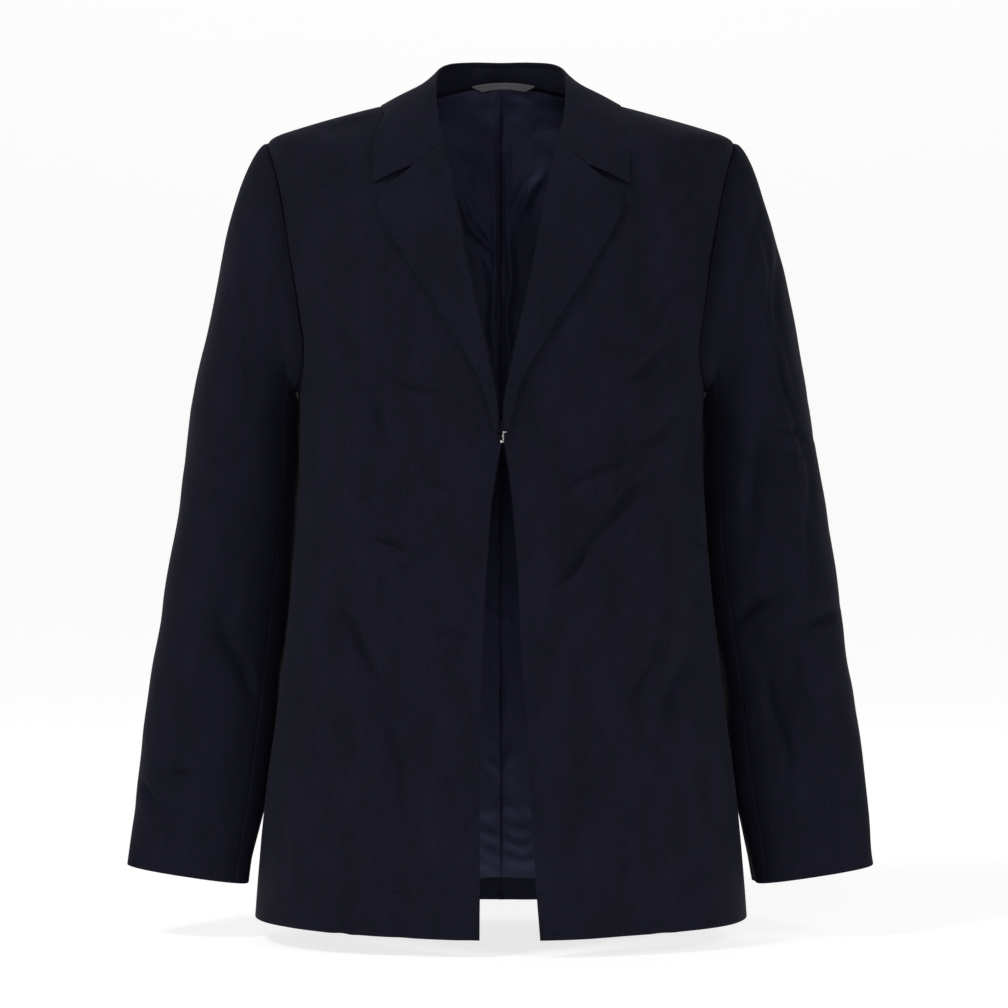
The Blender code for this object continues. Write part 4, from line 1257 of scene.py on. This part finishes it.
def sleeve_middle(down, side):
    """Across the body, where the middle of the sleeve is."""
    return side * np.interp(down, [0, HEAD_SHARE, 1], [0.150, SLEEVE["out"][0], SLEEVE["out"][-1]])


class JACKET_OT_sleeves(bpy.types.Operator):
    """Make the top and under sleeves"""

    bl_idname = "jacket.sleeves"
    bl_label = "Sleeves"

    def execute(self, context):
        cloth, _ = settings()
        downs = np.concatenate(
            [np.linspace(0, HEAD_SHARE, 97), np.linspace(HEAD_SHARE, 1, 141)[1:]]
        )
        spans = {
            "sleeve_top_": np.linspace(HIND_SEAM, FORE_SEAM, 121),
            "sleeve_under_": np.linspace(FORE_SEAM, HIND_SEAM + 2 * pi, 75),
        }
        edges = (SLEEVE_HEAD, folded(cloth.edge, 0.038), SLEEVE_SEAM, SLEEVE_SEAM)
        for side, word in SIDES:
            for name, angles in spans.items():
                down, around = np.meshgrid(downs, angles, indexing="ij")
                points = sleeve_cloth(down, around, side)
                middle = np.stack([sleeve_middle(down, side), 0 * down, points[..., 2] - 0.01], -1)
                cloth_piece(
                    name + word, points, points - middle, edges, "shell_cloth",
                    sink=0.3,
                )
        return {"FINISHED"}


class JACKET_OT_linings(bpy.types.Operator):
    """Make the linings and the turned-up hem"""

    bl_idname = "jacket.linings"
    bl_label = "Linings and hem"

    def execute(self, context):
        hem = folded(0.0006, 0.003)
        for side, word in SIDES:
            centre = LINING_UNDER if side > 0 else LINING_OVER
            front, back = front_places(side), back_places()
            places = raised(front[:, FACING_COLUMN:], LINING_HEM)
            points = body_cloth(places, side, LINING_DEPTH, LINING_CREASES)
            cloth_piece(
                "lining_front_" + word, points, -outward(points),
                (hem, None, FLAT_SEAM, FLAT_SEAM), "lining_cloth",
            )
            points = back_lining(raised(back, LINING_HEM), side)
            cloth_piece(
                "lining_back_" + word, points, -outward(points),
                (hem, None, centre, FLAT_SEAM), "lining_cloth",
                sink=0.5,
            )
            for name, around in (("turn_front_", front[:, FACING_COLUMN:]), ("turn_back_", back)):
                band = raised(around[: TURN_ROWS + 1], TURN_INSET)
                points = body_cloth(band, side, TURN_DEPTH, TURN_CREASES)
                cloth_piece(
                    name + word, points, -outward(points), (None, None, None, None),
                    "shell_cloth",
                )
        return {"FINISHED"}


# The back lining's waves just above the hem, and its slack everywhere, as half their heights;
# how far from the centre back seam it lies flat; and how close it may come to the shell.
LOW_WAVES, SLACK = 0.0013, 0.0011
SEAM_REACH = 0.008
LINING_GIVE = 0.0006


def back_lining(places, side):
    """The back lining: the body's own form, sunk inwards by crumples, small puckers, waves at the
    hem and slack. It lies flat at the centre back seam, and nowhere comes through the shell."""
    cloth, _ = settings()
    base = form(places[..., 0], places[..., 1])
    x, z = base[..., 0] * side, base[..., 2]
    push = fold_height(LINING_CRUMPLES, base[..., 0], z) + 1.1 * creases(FINE_LINING, x, z)
    low = np.exp(-(((z + 0.655) / 0.035) ** 2))
    wave = np.sin(z * 420 + 3.0 * np.sin(x * 38 + 1.0) + 2.0 * np.sin(x * 90))
    push = push - LOW_WAVES * low * (1 + wave) * (1 + 0.4 * np.sin(x * 130 + z * 60))
    slack = np.sin(x * 95 + 1.2 * np.sin(z * 16)) * np.sin(z * 21 + 2.0 * np.sin(x * 22))
    push = push - SLACK * (1 + slack)
    away = np.clip(np.abs(x) / SEAM_REACH, 0, 1)
    push = push * (0.1 + 0.9 * away**2 * (3 - 2 * away))
    face = np.where(np.cos(places[..., 0]) < 0, -1, 1)
    shell = cloth.crease_share * creases(FINE_BODY, base[..., 0], z, side, face)
    push = np.minimum(push, shell + LINING_GIVE)
    fade = np.clip((NECK_UP - places[..., 1]) / 0.02, 0, 1)
    return body_cloth(places, side, LINING_DEPTH, 0.0, push * fade)


class JACKET_OT_trims(bpy.types.Operator):
    """Make the bare strip at the back neck and the hook and eye"""

    bl_idname = "jacket.trims"
    bl_label = "Trims"

    def execute(self, context):
        tape_strip()
        metal = slot_material("wire")
        for name, grid in fastening_grids().items():
            piece = sheet_mesh(name, grid, grid - grid.mean(1, keepdims=True), metal)
            dress(piece, name)
        return {"FINISHED"}


# The strip: half its length; where it is, and how it leans back and bows; how far it sits to the
# wearer's left; and how far it stands off the solid's place.
LABEL_HALF, LABEL_TOP, LABEL_Y = 0.0270, 0.0250, 0.0582
LABEL_LEAN, LABEL_BOW, LABEL_ASIDE, LABEL_OFF = 0.3, 0.075, 0.0020, 0.0004
# How far below its top its upper and lower edges lie in the middle, and how much more at the
# ends; and where its ends start to taper, and how tall their tips are.
LABEL_UPPER, LABEL_LOWER = (0.0007, 0.0035), (0.0058, 0.0053)
LABEL_TAPER, LABEL_TIP = 0.68, 0.0006


def tape_strip():
    """The strip: it bows with the neck, both its long edges arch, and its lower edge runs up to
    the tips at both ends."""
    across = np.linspace(-1, 1, 81)
    x = across * LABEL_HALF + LABEL_ASIDE
    top, low = (LABEL_TOP - drop - arch * across**2 for drop, arch in (LABEL_UPPER, LABEL_LOWER))
    ends = np.clip((np.abs(across) - LABEL_TAPER) / (1 - LABEL_TAPER), 0, 1)
    low = low + (top - LABEL_TIP - low) * ends
    rows = np.linspace(0, 1, 13)[:, None]
    z = top - rows * (top - low)
    bow = np.sqrt(LABEL_BOW**2 - x**2) - LABEL_BOW
    y = LABEL_Y - LABEL_OFF + bow + (LABEL_TOP - z) * LABEL_LEAN
    points = np.stack([x + 0 * z, y, z], -1)
    edge = folded(0.0003, 0.001)
    points, normals = grow_all(points, np.array([0, -1, 0]) + 0 * points, [edge] * 4)
    piece = sheet_mesh("label", points, normals, slot_material("label_tape"))
    dress(piece, "label")


def tube(path, radius, sides=20):
    """A closed tube: circles of this radius along the path, in the plane of their own tangent's
    normals, with domed ends."""
    way = unit(np.gradient(path, axis=0))
    beside = unit(np.cross(way, np.array([0.0, 1.0, 0.0])))
    beyond = np.cross(way, beside)
    turn = np.linspace(0, 2 * pi, sides + 1)[:, None]
    ring = radius * (beside[:, None] * np.cos(turn) + beyond[:, None] * np.sin(turn))
    dome = np.linspace(0, pi / 2, 5)[1:, None, None]
    start, end = (
        path[k] + out * way[k] * np.sin(dome) + ring[k] * np.cos(dome)
        for k, out in ((0, -radius), (-1, radius))
    )
    return np.concatenate([start[::-1], path[:, None] + ring, end])


# The wire's radius, and the middle of the fastening. The bar from its top end to its middle and
# the end of the hook are given from there.
WIRE = 0.0008
HOOK_AT = np.array([0.0017, -0.1245, -0.2904])
BAR = table(
    """x_mm y_mm z_mm
    1.8 0.3  4.1
    0.3   0  3.8
      0   0 2.66"""
)
HOOK_END = (0.0016, 0.0022, 0)


def fastening_grids():
    """The upright bar, bent at both ends into the two fronts, and the short hook behind it, whose
    ends turn back into the cloth."""
    upper = np.stack([BAR[c] for c in "xyz"], -1)
    bar = HOOK_AT + np.concatenate([upper, (upper * np.array([-1, 1, -1]))[::-1]])
    end = np.array(HOOK_END)
    hook = np.stack([end, 0 * end, end * np.array([-1, 1, 1])])
    hook = hook + HOOK_AT + np.array([0, 2 * WIRE + 2 * SEAM, 0])
    return {
        "fastening_bar": tube(smooth_curve(bar, np.linspace(0, 1, 60)), WIRE),
        "fastening_hook": tube(smooth_curve(hook, np.linspace(0, 1, 12)), WIRE),
    }


# ---- Stage ----

# How far the jacket's middle lies beside the photo's, in pixels, and the photo's width.
ASIDE_PIXELS, PHOTO_PIXELS = 3, 1008
# Each light: where it is, what it aims at, its two sizes and its power in watts.
LIGHTS = {
    "key": ((-1.2, -0.9, 1.5), (0, 0, -0.3), (0.5, 0.5), 26),
    "fill": ((1.7, -1.4, 0.9), (0, 0, -0.35), (0.6, 0.8), 14),
    "front": ((0.1, -3.0, 0.25), (0, 0, -0.3), (0.9, 0.7), 14),
}
# The floor: half its width, where it starts, where and with which radius it turns up behind the
# jacket, and how high its back is.
FLOOR_HALF, FLOOR_START, FLOOR_BEND, BEND_RADIUS, FLOOR_TOP = 5.0, -5.0, 2.2, 1.5, 6.0


def area_light(name, place, aim, size, power):
    """A soft box at place that faces aim."""
    light = bpy.data.lights.new(name, "AREA")
    light.shape = "RECTANGLE"
    light.size, light.size_y = size
    light.energy = power
    lamp = bpy.data.objects.new(name, light)
    bpy.context.scene.collection.objects.link(lamp)
    from_lamp = np.array(aim, float) - np.array(place, float)
    lamp.location = place
    lamp.rotation_euler = Vector(from_lamp).to_track_quat("-Z", "Y").to_euler()


def floor_grid(height):
    """The floor: flat, then a quarter circle, then an upright wall."""
    turn = np.linspace(0, pi / 2, 20)[1:]
    flat = np.linspace(FLOOR_START, FLOOR_BEND, 40)
    along = np.concatenate([flat, FLOOR_BEND + BEND_RADIUS * np.sin(turn)])
    rise = np.concatenate([0 * flat, BEND_RADIUS - BEND_RADIUS * np.cos(turn)])
    along = np.append(along, FLOOR_BEND + BEND_RADIUS)
    rise = np.append(rise, FLOOR_TOP)
    wide = np.linspace(-FLOOR_HALF, FLOOR_HALF, 30)
    return np.stack(np.broadcast_arrays(wide[None], along[:, None], height + rise[:, None]), -1)


def light_table():
    """Opal acrylic, lit from behind, so that what stands on it has a faint shadow. Its light
    fades towards the camera."""
    material, tree, shader = new_material("lit opal acrylic")
    point = add(tree, "TexCoord", {}, "Object")
    depth = add(tree, "SeparateXYZ", {"Vector": point}, "Y")
    ends = {"From Min": -1.3, "From Max": -0.4, "To Min": 0.05, "To Max": 0.775}
    lit = add(tree, "MapRange", {"Value": depth, **ends}, interpolation_type="SMOOTHSTEP")
    feed(tree, shader, {"Base Color": (0.4, 0.4, 0.4, 1), "Roughness": 0.9})
    feed(tree, shader, {"Specular IOR Level": 0.1, "Emission Color": (1, 1, 1, 1)})
    feed(tree, shader, {"Emission Strength": lit})
    return material


def make_camera(scene, stage):
    """A level camera before the jacket."""
    camera = bpy.data.cameras.new("camera")
    camera.lens, camera.sensor_width = stage.lens, 36.0
    camera.shift_x = ASIDE_PIXELS / PHOTO_PIXELS
    scene.camera = bpy.data.objects.new("camera", camera)
    scene.camera.location = (0, -stage.distance, stage.eye)
    scene.camera.rotation_euler = (pi / 2, 0, 0)
    scene.collection.objects.link(scene.camera)


class JACKET_OT_stage(bpy.types.Operator):
    """Make the camera, the pale floor and the soft studio light"""

    bl_idname = "jacket.stage"
    bl_label = "Stage"

    def execute(self, context):
        _, stage = settings()
        scene = context.scene
        make_camera(scene, stage)
        scene.view_settings.view_transform = "Standard"
        world = bpy.data.worlds.new("studio")
        world.use_nodes = True
        sky = {"Color": (1, 1, 1, 1), "Strength": stage.ambient}
        feed(world.node_tree, world.node_tree.nodes["Background"], sky)
        scene.world = world
        grid = floor_grid(stage.floor)
        floor = sheet_mesh("floor", grid, np.array([0, -0.5, 1.0]) + 0 * grid, light_table())
        for name, light in LIGHTS.items():
            area_light(name, *light)
        return {"FINISHED"}


PIECES = (
    JACKET_OT_body,
    JACKET_OT_lapels,
    JACKET_OT_collar,
    JACKET_OT_sleeves,
    JACKET_OT_linings,
    JACKET_OT_trims,
)


class JACKET_PT_panel(bpy.types.Panel):
    """The jacket's sizes, and a button for each group of pieces"""

    bl_idname = "JACKET_PT_panel"
    bl_label = "Jacket"
    bl_space_type = "VIEW_3D"
    bl_region_type = "UI"
    bl_category = "Jacket"

    def draw(self, context):
        for group in (context.scene.jacket_cloth, context.scene.jacket_stage):
            column = self.layout.column()
            for key in group.bl_rna.properties.keys():
                if key not in ("rna_type", "name"):
                    column.prop(group, key)
        for operator in (*PIECES, JACKET_OT_stage):
            self.layout.operator(operator.bl_idname)


CLASSES = (JacketCloth, JacketStage, *PIECES, JACKET_OT_stage, JACKET_PT_panel)


def register():
    for part in CLASSES:
        bpy.utils.register_class(part)
    bpy.types.Scene.jacket_cloth = bpy.props.PointerProperty(type=JacketCloth)
    bpy.types.Scene.jacket_stage = bpy.props.PointerProperty(type=JacketStage)


def unregister():
    del bpy.types.Scene.jacket_cloth
    del bpy.types.Scene.jacket_stage
    for part in reversed(CLASSES):
        bpy.utils.unregister_class(part)


def main():
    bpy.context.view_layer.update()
    register()
    bpy.ops.jacket.stage()
    bpy.ops.jacket.body()
    bpy.ops.jacket.lapels()
    bpy.ops.jacket.collar()
    bpy.ops.jacket.sleeves()
    bpy.ops.jacket.linings()
    bpy.ops.jacket.trims()


if __name__ == "__main__":
    main()
